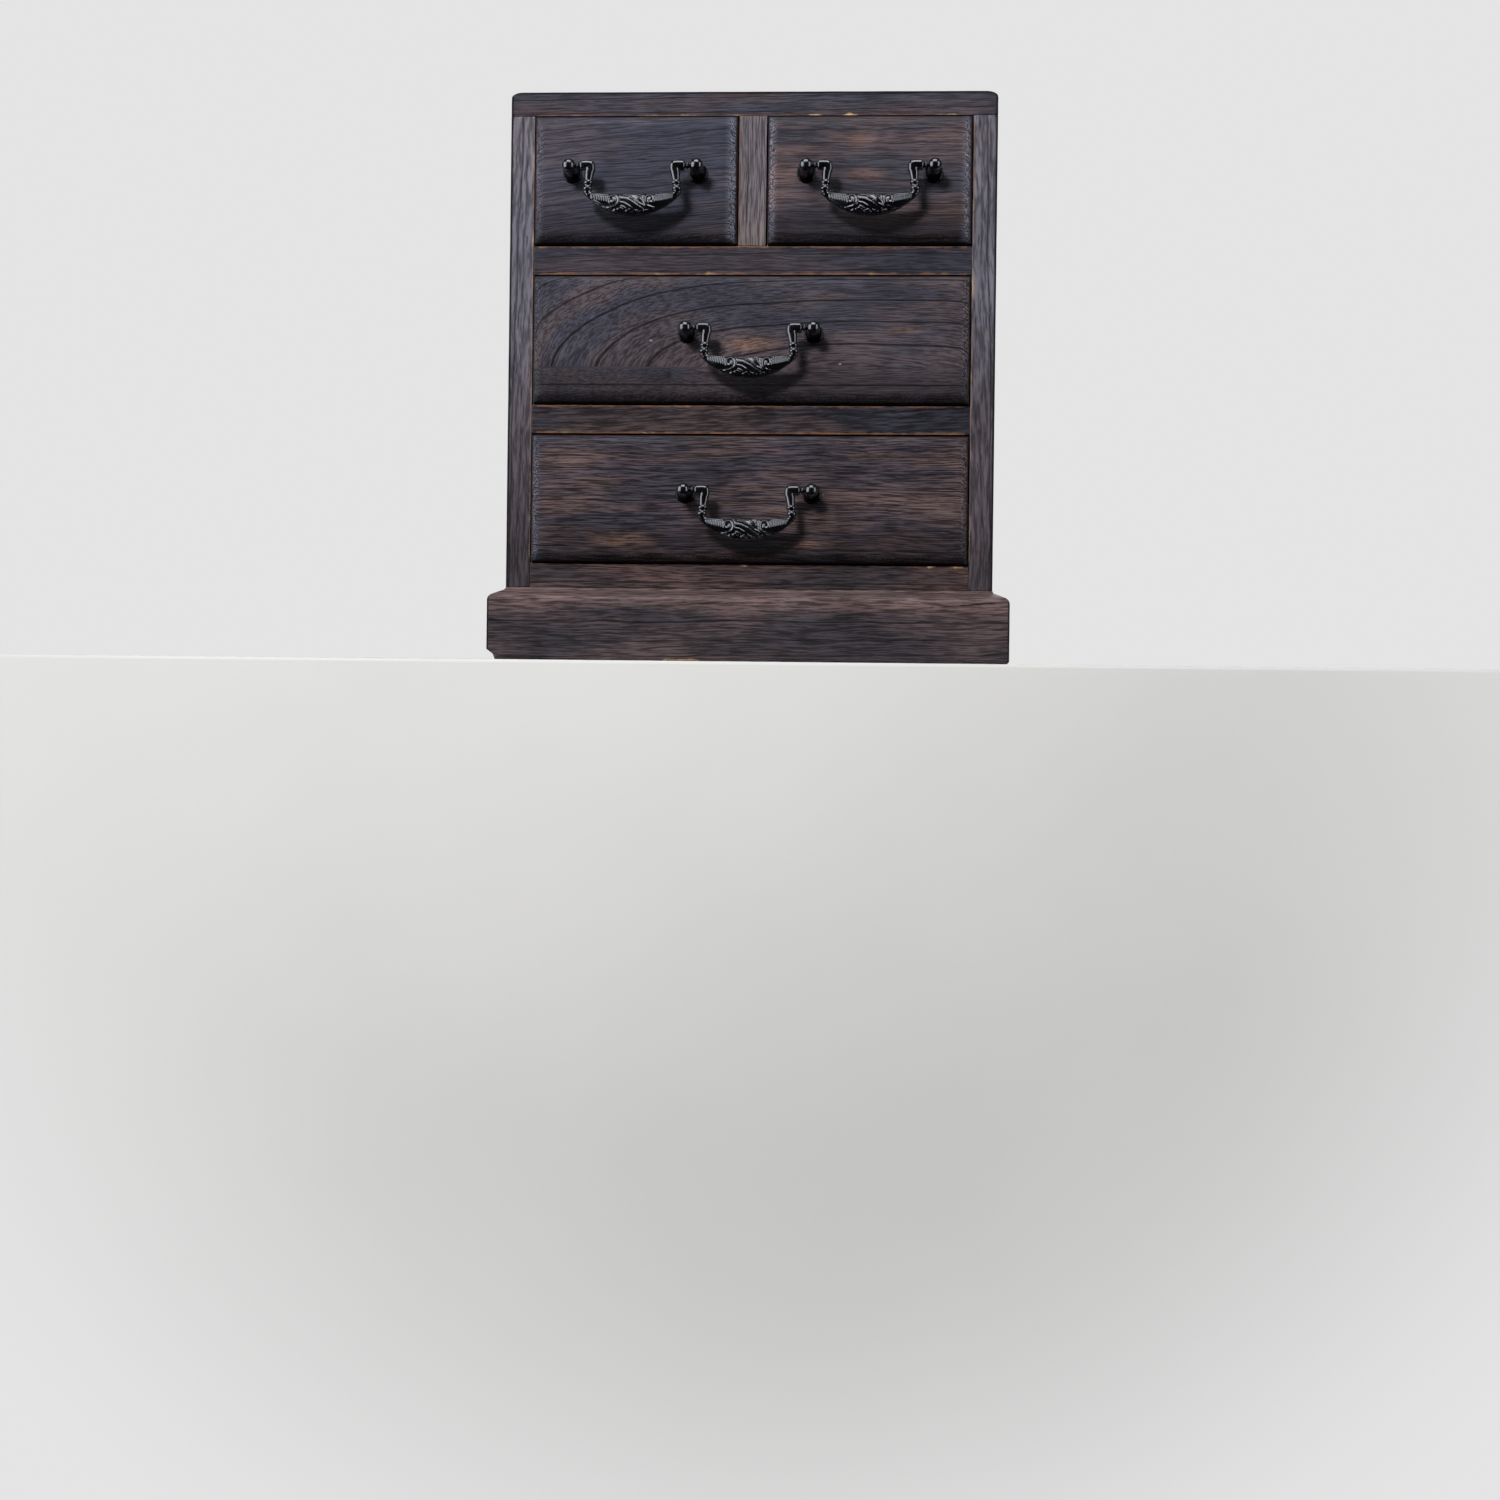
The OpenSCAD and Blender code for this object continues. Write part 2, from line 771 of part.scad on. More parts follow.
// One post standing up from z = 0; the bail's pin enters its ball from +X
module post() {
    difference() {
        union() {
            rotate_extrude() polygon(post_outline());
            translate([0, 0, ball_stand]) sphere(d = ball_dia);
        }
        translate([-pin_past - 2 * pin_gap, 0, ball_stand])
        rotate([0, 90, 0])
        cylinder(h = ball_dia, d = pin_dia + 2 * pin_gap);
        translate([0, 0, -cut])
        cylinder(h = screw_bite + screw_tip_gap + cut, d = screw_dia + 2 * glue_gap);
    }
}

module drawer_handle_posts(d) {
    color(IRON) at_posts(d) post();
}

module drawer_handle_screws(d) {
    head_z = -front_t - screw_head_h;
    color(STEEL)
    at_posts(d)
    difference() {
        union() {
            translate([0, 0, -front_t]) cylinder(h = front_t + screw_bite, d = screw_dia);
            translate([0, 0, head_z]) cylinder(h = screw_head_h, d = screw_head_dia);
        }
        block(
            [-screw_head_dia, -screw_slot_w / 2, head_z - cut],
            [screw_head_dia, screw_slot_w / 2, head_z + screw_slot_h]
        );
    }
}

// The bail is a tube of changing section. Each station holds a point of the outline on the arm's underside or
// the leg's outer side, then the point across from it, then half the depth there.
function arm_station(x, r) = [[x, -r], [x, r], r];

// The elbow turns about its inner corner, and its outer corner is a rounded square one
function elbow_station(a) =
    let (
        inner = [elbow_x + arm_r, -arm_r],
        reach = arm_dia / pow(pow(cos(a), 4) + pow(sin(a), 4), 1 / 4)
    )
    [inner, inner + reach * [-sin(a), cos(a)], arm_r];

function leg_x(drop) = elbow_x + leg_splay / 2 * drop / ring_drop;
function leg_station(drop, r) = [[leg_x(drop) + r, -drop], [leg_x(drop) - r, -drop], r];
function ring_stations(drop) = [
    for (i = [-ring_steps:ring_steps])
    let (a = 90 * i / ring_steps)
    leg_station(drop + ring_t / 2 * sin(a), leg_r + (ring_dia / 2 - leg_r) * cos(a))
];

// The grip's upper edge is level, and rises to the leg at its end; its lower edge is an arc
function grip_station(t) =
    let (
        upper_x = (leg_x(rings_end) - leg_r) * (1 - t),
        lower_x = grip_w / 2 * (1 - t),
        rise = pow(max(0, 1 - t / grip_corner), 2)
    )
    [
        [lower_x, -grip_low + grip_r - sqrt(pow(grip_r, 2) - pow(lower_x, 2))],
        [upper_x, -grip_top + (grip_top - rings_end - leg_edge) * rise],
        leg_r + (grip_depth / 2 - leg_r) * sin(90 * t)
    ];

half_bail = concat(
    [arm_station(arm_end_x, arm_r - arm_edge), arm_station(arm_end_x - arm_edge, arm_r)],
    [for (i = [0:elbow_steps]) elbow_station(90 * i / elbow_steps)],
    ring_stations(ring_drop),
    ring_stations(ring_drop + ring_pitch),
    [for (i = [0:grip_steps]) grip_station(i / grip_steps)]
);
last_half = len(half_bail) - 1;
bail_stations = concat(
    half_bail,
    [
        for (i = [last_half - 1:-1:0])
        let (s = half_bail[i])
        [[-s[0][0], s[0][1]], [-s[1][0], s[1][1]], s[2]]
    ]
);

module bail_tube() {
    points = [
        for (s = bail_stations)
        for (j = [0:tube_sides - 1])
        let (a = 360 * j / tube_sides, p = (s[0] + s[1] + (s[0] - s[1]) * cos(a)) / 2)
        [p[0], s[2] * sin(a), p[1]]
    ];
    last_ring = len(points) - tube_sides;
    walls = [
        for (i = [0:len(bail_stations) - 2])
        for (j = [0:tube_sides - 1])
        let (a = i * tube_sides + j, b = i * tube_sides + (j + 1) % tube_sides)
        each [[a, b, b + tube_sides], [a, b + tube_sides, a + tube_sides]]
    ];
    first_end = [for (j = [tube_sides - 1:-1:0]) j];
    last_end = [for (j = [0:tube_sides - 1]) last_ring + j];
    polyhedron(points = points, faces = concat(walls, [first_end, last_end]));
}

// The pivot pin and its bead at the right-hand end
module bail_pin() {
    pin_x = arm_end_x - arm_edge;
    translate([pin_x, 0, 0])
    rotate([0, 90, 0])
    cylinder(h = post_span / 2 + pin_past - pin_x, d = pin_dia);
    translate([bead_x, 0, 0]) rotate([0, 90, 0]) sphere(d = bead_dia);
}

module drawer_bail(d) {
    color(IRON)
    translate([mid_x[d], pivot_y, handle_z[d]])
    union() {
        bail_tube();
        bail_pin();
        mirror([1, 0, 0]) bail_pin();
    }
}

top_board();
side_left();
side_right();
bottom_board();
lower_rail();
upper_rail();
lower_dust_board();
upper_dust_board();
partition();
back_panel();
back_nails();
top_pegs();
side_pegs();
drawer_stops();
plinth_front();
plinth_left();
plinth_right();
plinth_back();
plinth_blocks();
for (d = [0:3]) {
    drawer_front(d);
    drawer_side_left(d);
    drawer_side_right(d);
    drawer_back(d);
    drawer_bottom(d);
    drawer_nails(d);
    drawer_handle_posts(d);
    drawer_handle_screws(d);
    drawer_bail(d);
}
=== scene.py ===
"""A small Japanese drawer chest in burnt and brushed paulownia, with four cast bail pulls."""

from math import cos, pi, radians, sin, tan

import bpy
import numpy as np
from mathutils import Matrix, Vector


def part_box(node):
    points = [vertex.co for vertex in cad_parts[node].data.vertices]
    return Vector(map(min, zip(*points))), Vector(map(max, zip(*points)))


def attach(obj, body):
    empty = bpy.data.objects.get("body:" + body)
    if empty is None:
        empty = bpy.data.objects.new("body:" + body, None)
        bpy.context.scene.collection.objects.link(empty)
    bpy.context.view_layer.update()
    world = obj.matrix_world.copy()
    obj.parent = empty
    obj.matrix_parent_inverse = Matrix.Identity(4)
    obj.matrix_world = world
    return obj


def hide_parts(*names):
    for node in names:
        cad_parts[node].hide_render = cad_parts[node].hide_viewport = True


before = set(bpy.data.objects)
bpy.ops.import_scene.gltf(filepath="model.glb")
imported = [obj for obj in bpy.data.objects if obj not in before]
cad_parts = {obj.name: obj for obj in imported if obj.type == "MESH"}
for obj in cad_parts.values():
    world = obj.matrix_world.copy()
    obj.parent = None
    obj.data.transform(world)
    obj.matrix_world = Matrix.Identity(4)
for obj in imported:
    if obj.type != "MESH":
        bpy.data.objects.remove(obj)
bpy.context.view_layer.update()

# Camera
# It stands level, a little below the foot of the chest and to the right of its middle, and is held slightly askew.
MM = 0.001
CAMERA_PLACE = (42.6 * MM, -998.5 * MM, -44.4 * MM)
CAMERA_TURN, CAMERA_ROLL = radians(2.54), radians(0.71)


def new_object(name, data):
    thing = bpy.data.objects.new(name, data)
    bpy.context.scene.collection.objects.link(thing)
    return thing


camera_data = bpy.data.cameras.new("camera")
camera_data.sensor_width = 36.0
camera_data.lens = 42.96
camera_data.clip_start = 0.01
camera = new_object("camera", camera_data)
bpy.context.scene.camera = camera
camera.matrix_world = (
    Matrix.Translation(CAMERA_PLACE)
    @ Matrix.Rotation(CAMERA_TURN, 4, "Z")
    @ Matrix.Rotation(pi / 2, 4, "X")
    @ Matrix.Rotation(CAMERA_ROLL, 4, "Z")
)
bpy.context.scene.view_settings.view_transform = "Standard"


# Studio
# A pale plastered bench with a rounded front edge and a pale room round it. A small lamp stands high on the left of the
# camera, with a weak one at each side and one behind. Three tall windows show only as shine on the metal and the wax.
def paint(red, green, blue):
    """A colour as it is seen on a screen, 0 to 255, as the linear colour that a shader takes."""
    return [
        (c / 255 / 12.92) if c <= 10 else ((c / 255 + 0.055) / 1.055) ** 2.4
        for c in (red, green, blue)
    ] + [1.0]


class Value:
    """What a node gives out. Arithmetic with it adds the nodes that do it to the same tree."""

    def __init__(self, socket):
        self.socket, self.tree = socket, socket.id_data

    def __add__(self, other):
        return maths("ADD", self, other)

    def __sub__(self, other):
        return maths("SUBTRACT", self, other)

    def __rsub__(self, other):
        return maths("SUBTRACT", other, self)

    def __mul__(self, other):
        return maths("MULTIPLY", self, other)

    def __truediv__(self, other):
        return maths("DIVIDE", self, other)

    def __abs__(self):
        return maths("ABSOLUTE", self)

    def spread(self, low, high, start=0.0, end=1.0):
        """Turns a value between low and high smoothly into one between start and end."""
        inputs = {0: self, 1: low, 2: high, 3: start, 4: end}
        return add(self.tree, "ShaderNodeMapRange", inputs, interpolation_type="SMOOTHSTEP")

    def blend(self, first, second):
        """The colour that lies this share of the way from the first to the second."""
        return add(self.tree, "ShaderNodeMix", {0: self, 6: first, 7: second}, out=2, data_type="RGBA")

    def parts(self):
        """The three numbers of a vector."""
        node = add(self.tree, "ShaderNodeSeparateXYZ", {0: self}).socket.node
        return [Value(socket) for socket in node.outputs]


def feed(node, inputs):
    """Links values to a node's inputs, and sets those that get a plain number or colour."""
    for key, value in dict(inputs).items():
        if isinstance(value, Value):
            value.tree.links.new(value.socket, node.inputs[key])
        else:
            node.inputs[key].default_value = value


def add(tree, kind, inputs=(), out=0, **settings):
    """Adds a node, sets it up, feeds its inputs and gives back one of its outputs."""
    node = tree.nodes.new(kind)
    for key, value in settings.items():
        setattr(node, key, value)
    feed(node, inputs)
    return Value(node.outputs[out])


def is_vector(value):
    """Whether it is a vector or a colour, and not a single number."""
    if isinstance(value, Value):
        return value.socket.type in ("VECTOR", "RGBA")
    return not isinstance(value, (int, float))


def maths(operation, *values):
    """One step of arithmetic on numbers or vectors. A vector times a number is scaled by it."""
    tree = next(value.tree for value in values if isinstance(value, Value))
    vectors = [value for value in values if is_vector(value)]
    numbers = [value for value in values if not is_vector(value)]
    if not vectors:
        return add(tree, "ShaderNodeMath", enumerate(values), operation=operation)
    if numbers:
        return add(tree, "ShaderNodeVectorMath", {0: vectors[0], "Scale": numbers[0]}, operation="SCALE")
    out = 1 if operation in ("DOT_PRODUCT", "LENGTH") else 0
    return add(tree, "ShaderNodeVectorMath", enumerate(values), out, operation=operation)


def noise(point, scale, detail, roughness=0.5, out=0):
    """Smooth random spots round a point, scale of them to a metre, as a number or with out=1 as a vector."""
    inputs = {"Vector": point, "Scale": scale, "Detail": detail, "Roughness": roughness}
    return add(point.tree, "ShaderNodeTexNoise", inputs, out)


def new_finish(name):
    """A new material, the tree of its nodes, its shader, and the point on the built shape that it colours."""
    material = bpy.data.materials.new(name)
    material.use_nodes = True
    tree = material.node_tree
    return material, tree, tree.nodes["Principled BSDF"], add(tree, "ShaderNodeTexCoord", out=3)


def new_mesh(name, points, faces):
    mesh = bpy.data.meshes.new(name)
    mesh.from_pydata(points, [], faces)
    return mesh


def rays(tree):
    """1 for a ray from the camera, and 1 for one that comes from it straight or by gloss or glass, else 0."""
    by_camera, glossy, through = [
        add(tree, "ShaderNodeLightPath", out=f"Is {kind} Ray") for kind in ("Camera", "Glossy", "Transmission")
    ]
    return by_camera, maths("MAXIMUM", maths("MAXIMUM", by_camera, glossy), through)


ROOM_PALE = paint(228, 228, 228)
BENCH_FRONT, BENCH_EDGE = -102.2 * MM, 2.0 * MM
BENCH_HALF_W, BENCH_BACK, BENCH_FOOT = 2.2, 1.6, -1.6
FADE_FROM, FADE_TO = 0.24, 0.55
bench_line = [(BENCH_FRONT, BENCH_FOOT)]
bench_line += [
    (BENCH_FRONT + BENCH_EDGE * (1 - cos(a)), BENCH_EDGE * (sin(a) - 1))
    for a in np.linspace(0, pi / 2, 7)
]
bench_line += [(0.2, 0.0), (BENCH_BACK, 0.0)]
bench_points = [(x, y, z) for x in (-BENCH_HALF_W, BENCH_HALF_W) for y, z in bench_line]
across = len(bench_line)
bench_mesh = new_mesh("bench", bench_points, [(i, i + across, i + across + 1, i + 1) for i in range(across - 1)])
bench_mesh.shade_smooth()
bench = new_object("bench", bench_mesh)
plaster, tree, body, here = new_finish("pale_plaster")
pale = noise(here, 4.0, 4.0).spread(0.3, 0.7).blend(paint(220, 220, 219), paint(226, 226, 225))
feed(body, {"Base Color": pale, "Roughness": 0.9, "Specular IOR Level": 0.2})
bench_mesh.materials.append(plaster)
# Away from the chest the bench shows as pale as the room
by_camera, straight = rays(tree)
away = maths("LENGTH", here).spread(FADE_FROM, FADE_TO)
glow = add(tree, "ShaderNodeEmission", {"Color": ROOM_PALE, "Strength": by_camera.spread(0.0, 1.0, 0.3, 1.0)})
shown = add(tree, "ShaderNodeMixShader", {0: straight * away, 1: Value(body.outputs[0]), 2: glow})
feed(tree.nodes["Material Output"], {"Surface": shown})

room = bpy.data.worlds.new("room")
bpy.context.scene.world = room
room.use_nodes = True
tree = room.node_tree
wall = tree.nodes["Background"]
feed(wall, {"Color": ROOM_PALE, "Strength": 1.0})
_, heading_y, heading_z = add(tree, "ShaderNodeTexCoord", out=0).parts()
# Little light comes from below, and all but the wall behind the chest is dim in gloss and wax
from_above, from_behind = heading_z.spread(-0.5, 0.4, 0.02, 0.078), heading_y.spread(0.35, 1.0, 0.03, 0.6)
light = add(tree, "ShaderNodeBackground", {"Color": paint(236, 238, 242), "Strength": from_above})
dimmed = add(tree, "ShaderNodeBackground", {"Color": ROOM_PALE, "Strength": from_behind})
by_camera, straight = rays(tree)
seen = add(tree, "ShaderNodeMixShader", {0: by_camera, 1: dimmed, 2: Value(wall.outputs[0])})
shown = add(tree, "ShaderNodeMixShader", {0: straight, 1: light, 2: seen})
feed(tree.nodes["World Output"], {"Surface": shown})

LIT_POINT = Vector((0.0, 0.0, 0.15))


def lamp(name, place, width, height, watts, colour, on_surfaces=True, in_gloss=True):
    """A flat lamp turned to the chest, its place and size in metres."""
    data = bpy.data.lights.new(name, "AREA")
    data.shape = "RECTANGLE"
    data.size, data.size_y, data.energy, data.color = width, height, watts, colour
    thing = new_object(name, data)
    thing.location = place
    thing.rotation_euler = (LIT_POINT - Vector(place)).to_track_quat("-Z", "Y").to_euler()
    thing.visible_diffuse, thing.visible_glossy = on_surfaces, in_gloss


lamp("front_lamp", (-0.48, -1.5, 0.78), 0.34, 0.26, 27.0, (1.0, 0.99, 0.98), in_gloss=False)
lamp("left_lamp", (-1.5, -0.42, 0.8), 0.5, 1.1, 6.5, (0.94, 0.97, 1.0), in_gloss=False)
lamp("right_lamp", (1.5, -0.4, 0.6), 0.4, 1.1, 5.8, (0.97, 0.98, 1.0), in_gloss=False)
lamp("left_window", (-1.4, -0.8, 0.4), 1.3, 1.9, 34.0, (0.9, 0.93, 1.0), on_surfaces=False)
lamp("right_window", (1.35, -0.8, 0.4), 0.6, 1.7, 12.0, (0.9, 0.95, 1.0), on_surfaces=False)
lamp("overhead_window", (-0.05, -0.9, 1.7), 1.5, 1.1, 27.0, (0.94, 0.97, 1.0), on_surfaces=False)
lamp("rear_lamp", (0.5, 1.7, 1.1), 1.2, 1.0, 26.0, (1.0, 1.0, 1.0))


# Top board
# A paulownia board laid on the side boards, its grain running left to right and its two ends rounded over by hand.
# Like all the outside, it was scorched, brushed until the hard grain stood up, and waxed. Its rear rebate holds the
# back panel.
AXES = {"x": Vector((1, 0, 0)), "y": Vector((0, 1, 0)), "z": Vector((0, 0, 1))}
LEFT, RIGHT, UP, DOWN = (-1, 0, 0), (1, 0, 0), (0, 0, 1), (0, 0, -1)
FOOT_ACROSS, FOOT_CHANGE = 13 * MM, 1.4 * MM


def log_of(grain, side, pith, lean=(0, 0, 0), ring=9.0, wave=2.5, bend=(0, 0, 0), foot=-1000.0):
    """A log: how its grain runs, where its heart lies and how it leans and bends, and its rings' width, in mm.
    Under the height of its foot the grain runs straight."""
    return {
        "Grain": AXES[grain],
        "Side": AXES[side],
        "Pith": Vector(pith) * MM,
        "Lean": Vector(lean),
        "Bend": Vector(bend),
        "Ring": ring * MM,
        "Wave": wave * MM,
        "Foot": foot * MM,
    }


def growth(point, log):
    """Where a point lies in its log: a year's dark line, fibres, bands, clouds and pores, each from 0 to 1."""
    rel = point - log["Pith"]
    along = maths("DOT_PRODUCT", rel, log["Grain"])
    heart = along * (log["Grain"] + log["Lean"]) + along * along * log["Bend"]
    wave = (noise(rel, 16.0, 2.0, out=1) - (0.5, 0.5, 0.5)) * log["Wave"]
    off = rel - heart + wave
    height = point.parts()[2] - log["Foot"]
    whorl = height.spread(0.0, FOOT_CHANGE)
    across = whorl * maths("LENGTH", off) + (1.0 - whorl) * (FOOT_ACROSS - height)
    side = maths("DOT_PRODUCT", off, log["Side"])
    phase = maths("FRACT", across / log["Ring"])

    def streaks(lengthwise, crosswise, sidewise, detail, low, high):
        """Noise that changes so many times a metre along the grain, across the rings and beside them."""
        stretched = {0: along * lengthwise, 1: across * crosswise, 2: side * sidewise}
        place = add(point.tree, "ShaderNodeCombineXYZ", stretched)
        return noise(place, 1.0, detail, roughness=0.6).spread(low, high)

    return {
        "line": abs(phase * 2.0 - 1.0).spread(0.86, 1.0),
        "fibre": streaks(75.0, 1900.0, 800.0, 3.0, 0.33, 0.67),
        "band": streaks(20.0, 480.0, 180.0, 3.0, 0.34, 0.66),
        "cloud": streaks(11.0, 62.0, 30.0, 4.0, 0.34, 0.66),
        "pore": streaks(90.0, 2600.0, 1400.0, 1.0, 0.60, 0.72),
    }


def open_tree(name, inputs):
    """A new tree that shapes a mesh, with named inputs, and the values that they bring."""
    tree = bpy.data.node_groups.new(name, "GeometryNodeTree")
    tree.is_modifier = True
    tree.interface.new_socket("Geometry", in_out="INPUT", socket_type="NodeSocketGeometry")
    for label, kind in inputs.items():
        tree.interface.new_socket(label, in_out="INPUT", socket_type="NodeSocket" + kind)
    tree.interface.new_socket("Geometry", in_out="OUTPUT", socket_type="NodeSocketGeometry")
    source = tree.nodes.new("NodeGroupInput")
    return tree, {socket.name: Value(socket) for socket in source.outputs if socket.name}


def close_tree(tree, geometry, material):
    real = add(tree, "GeometryNodeRealizeInstances", {"Geometry": geometry})
    real = add(tree, "GeometryNodeSetMaterial", {"Geometry": real, "Material": material})
    feed(tree.nodes.new("NodeGroupOutput"), {"Geometry": real})


# The tree of a planed board: a block in fine cells, with softened edges, one face rounded towards its outline, and
# the waste that is its input mesh cut away
planed_board, given = open_tree(
    "planed_board",
    {
        **dict.fromkeys(("Low", "High", "Cells", "Margin", "Margin cells", "Facing", "Back", "Round"), "Vector"),
        **dict.fromkeys(("Edge", "Round width", "Round depth", "Roundness"), "Float"),
        "Cut": "Bool",
        "Material": "Material",
    },
)
tree = planed_board
counts = (given["Cells"] + (1, 1, 1)).parts()
block = {"Size": (1, 1, 1), **{"Vertices " + axis: count for axis, count in zip("XYZ", counts)}}
block = add(tree, "GeometryNodeMeshCube", block)
size = given["High"] - given["Low"]
step = (add(tree, "GeometryNodeInputPosition") + (0.5, 0.5, 0.5)) * given["Cells"]


def into_margin(cells):
    """How far so many cells reach in from the outline, the first ones short and the last as long as the margin."""
    share = maths("MINIMUM", cells, given["Margin cells"]) / given["Margin cells"]
    return share * share * given["Margin"]


inner = (step - given["Margin cells"]) / (given["Cells"] - given["Margin cells"] * 2.0)
inner = maths("MINIMUM", maths("MAXIMUM", inner, (0, 0, 0)), (1, 1, 1))
inner = inner * (size - given["Margin"] * 2.0)
place = given["Low"] + into_margin(step) + inner
place = place + (given["Margin"] - into_margin(given["Cells"] - step))
edge = add(tree, "ShaderNodeCombineXYZ", {axis: given["Edge"] for axis in range(3)})
core = maths("MINIMUM", maths("MAXIMUM", place, given["Low"] + edge), given["High"] - edge)
soft = core + maths("NORMALIZE", place - core) * given["Edge"]
gap = maths("MINIMUM", place - given["Low"], given["High"] - place)
inset = maths("MAXIMUM", given["Round"] - gap, (0, 0, 0))
reach = maths("SQRT", maths("LENGTH", inset * inset)) / given["Round width"]


def dip(share):
    """How far a circle has dropped at a share of its radius."""
    return 1.0 - maths("SQRT", 1.0 - share * share)


drop = dip(maths("MINIMUM", reach, 1.0) * given["Roundness"]) / dip(given["Roundness"]) * given["Round depth"]
depth = maths("DOT_PRODUCT", soft - given["Back"], given["Facing"])
drop = drop * (depth / maths("DOT_PRODUCT", size, abs(given["Facing"])))
shaped = {"Geometry": block, "Position": soft - given["Facing"] * drop}
shaped = add(tree, "GeometryNodeSetPosition", shaped)
cut = {"Mesh 1": shaped, "Mesh 2": given["Geometry"]}
cut = add(tree, "GeometryNodeMeshBoolean", cut, operation="DIFFERENCE", solver="EXACT")
shaped = add(tree, "GeometryNodeSwitch", {"Switch": given["Cut"], "False": shaped, "True": cut})
close_tree(tree, shaped, given["Material"])

# The tree of the wire brush: it takes the soft wood down between the hard grain, never more than its depth
SHARP_EDGE = 0.9
wire_brush, given = open_tree(
    "wire_brush",
    {
        **dict.fromkeys(("Pith", "Grain", "Lean", "Bend", "Side"), "Vector"),
        **dict.fromkeys(("Ring", "Wave", "Foot", "Depth", "Least"), "Float"),
        "Material": "Material",
    },
)
tree = wire_brush
wood = growth(add(tree, "GeometryNodeInputPosition"), given)
hard = wood["fibre"] * 0.6 + wood["band"] * 0.4
dug = (1.0 - hard + wood["line"] * 0.5) * given["Depth"] + given["Least"]
brushed = {"Geometry": given["Geometry"], "Offset": add(tree, "GeometryNodeInputNormal") * (dug * -1.0)}
brushed = add(tree, "GeometryNodeSetPosition", brushed)
brushed = add(tree, "GeometryNodeSetShadeSmooth", {"Geometry": brushed, "Shade Smooth": True})
sharp = maths("GREATER_THAN", add(tree, "GeometryNodeInputMeshEdgeAngle"), SHARP_EDGE)
brushed = {"Geometry": brushed, "Selection": sharp, "Shade Smooth": False}
brushed = add(tree, "GeometryNodeSetShadeSmooth", brushed, domain="EDGE")
close_tree(tree, brushed, given["Material"])


def brushing(log, material, depth=0.09):
    """The wire brush and how it is set for a log, its depth in mm."""
    return wire_brush, {**log, "Depth": depth * MM, "Least": 0.05 * MM, "Material": material}


def worked(name, mesh, steps):
    """A plain mesh object: the mesh with each tree in turn worked on it."""
    thing = new_object(name, mesh)
    for tree, values in steps:
        modifier = thing.modifiers.new(tree.name, "NODES")
        modifier.node_group = tree
        for item in tree.interface.items_tree:
            if item.in_out == "INPUT" and item.name in values:
                modifier[item.identifier] = values[item.name]
    depsgraph = bpy.context.evaluated_depsgraph_get()
    result = bpy.data.meshes.new_from_object(thing.evaluated_get(depsgraph), depsgraph=depsgraph)
    thing.modifiers.clear()
    thing.data = result
    return thing


def blocks(name, boxes):
    """A mesh of plain blocks, each from its lowest to its highest corner."""
    points, faces = [], []
    for low, high in boxes:
        first = len(points)
        points += [(x, y, z) for x in (low[0], high[0]) for y in (low[1], high[1]) for z in (low[2], high[2])]
        rings = [(0, 1, 3, 2), (4, 6, 7, 5), (0, 4, 5, 1), (2, 3, 7, 6), (0, 2, 6, 4), (1, 5, 7, 3)]
        faces += [tuple(first + i for i in ring) for ring in rings]
    return new_mesh(name, points, faces)


def bump(height, strength, depth):
    """The slant that a height gives a surface, its depth in mm."""
    return add(height.tree, "ShaderNodeBump", {"Strength": strength, "Distance": depth * MM, "Height": height})


BARE_CHIP, BLUSH, FLECK = paint(241, 200, 142), paint(137, 104, 84), paint(183, 168, 161)
BLACKENED, CRACK = paint(17, 16, 20), paint(14, 12, 13)
CHARRED_W, NARROW, RARE = 2.6, 12, 0.86


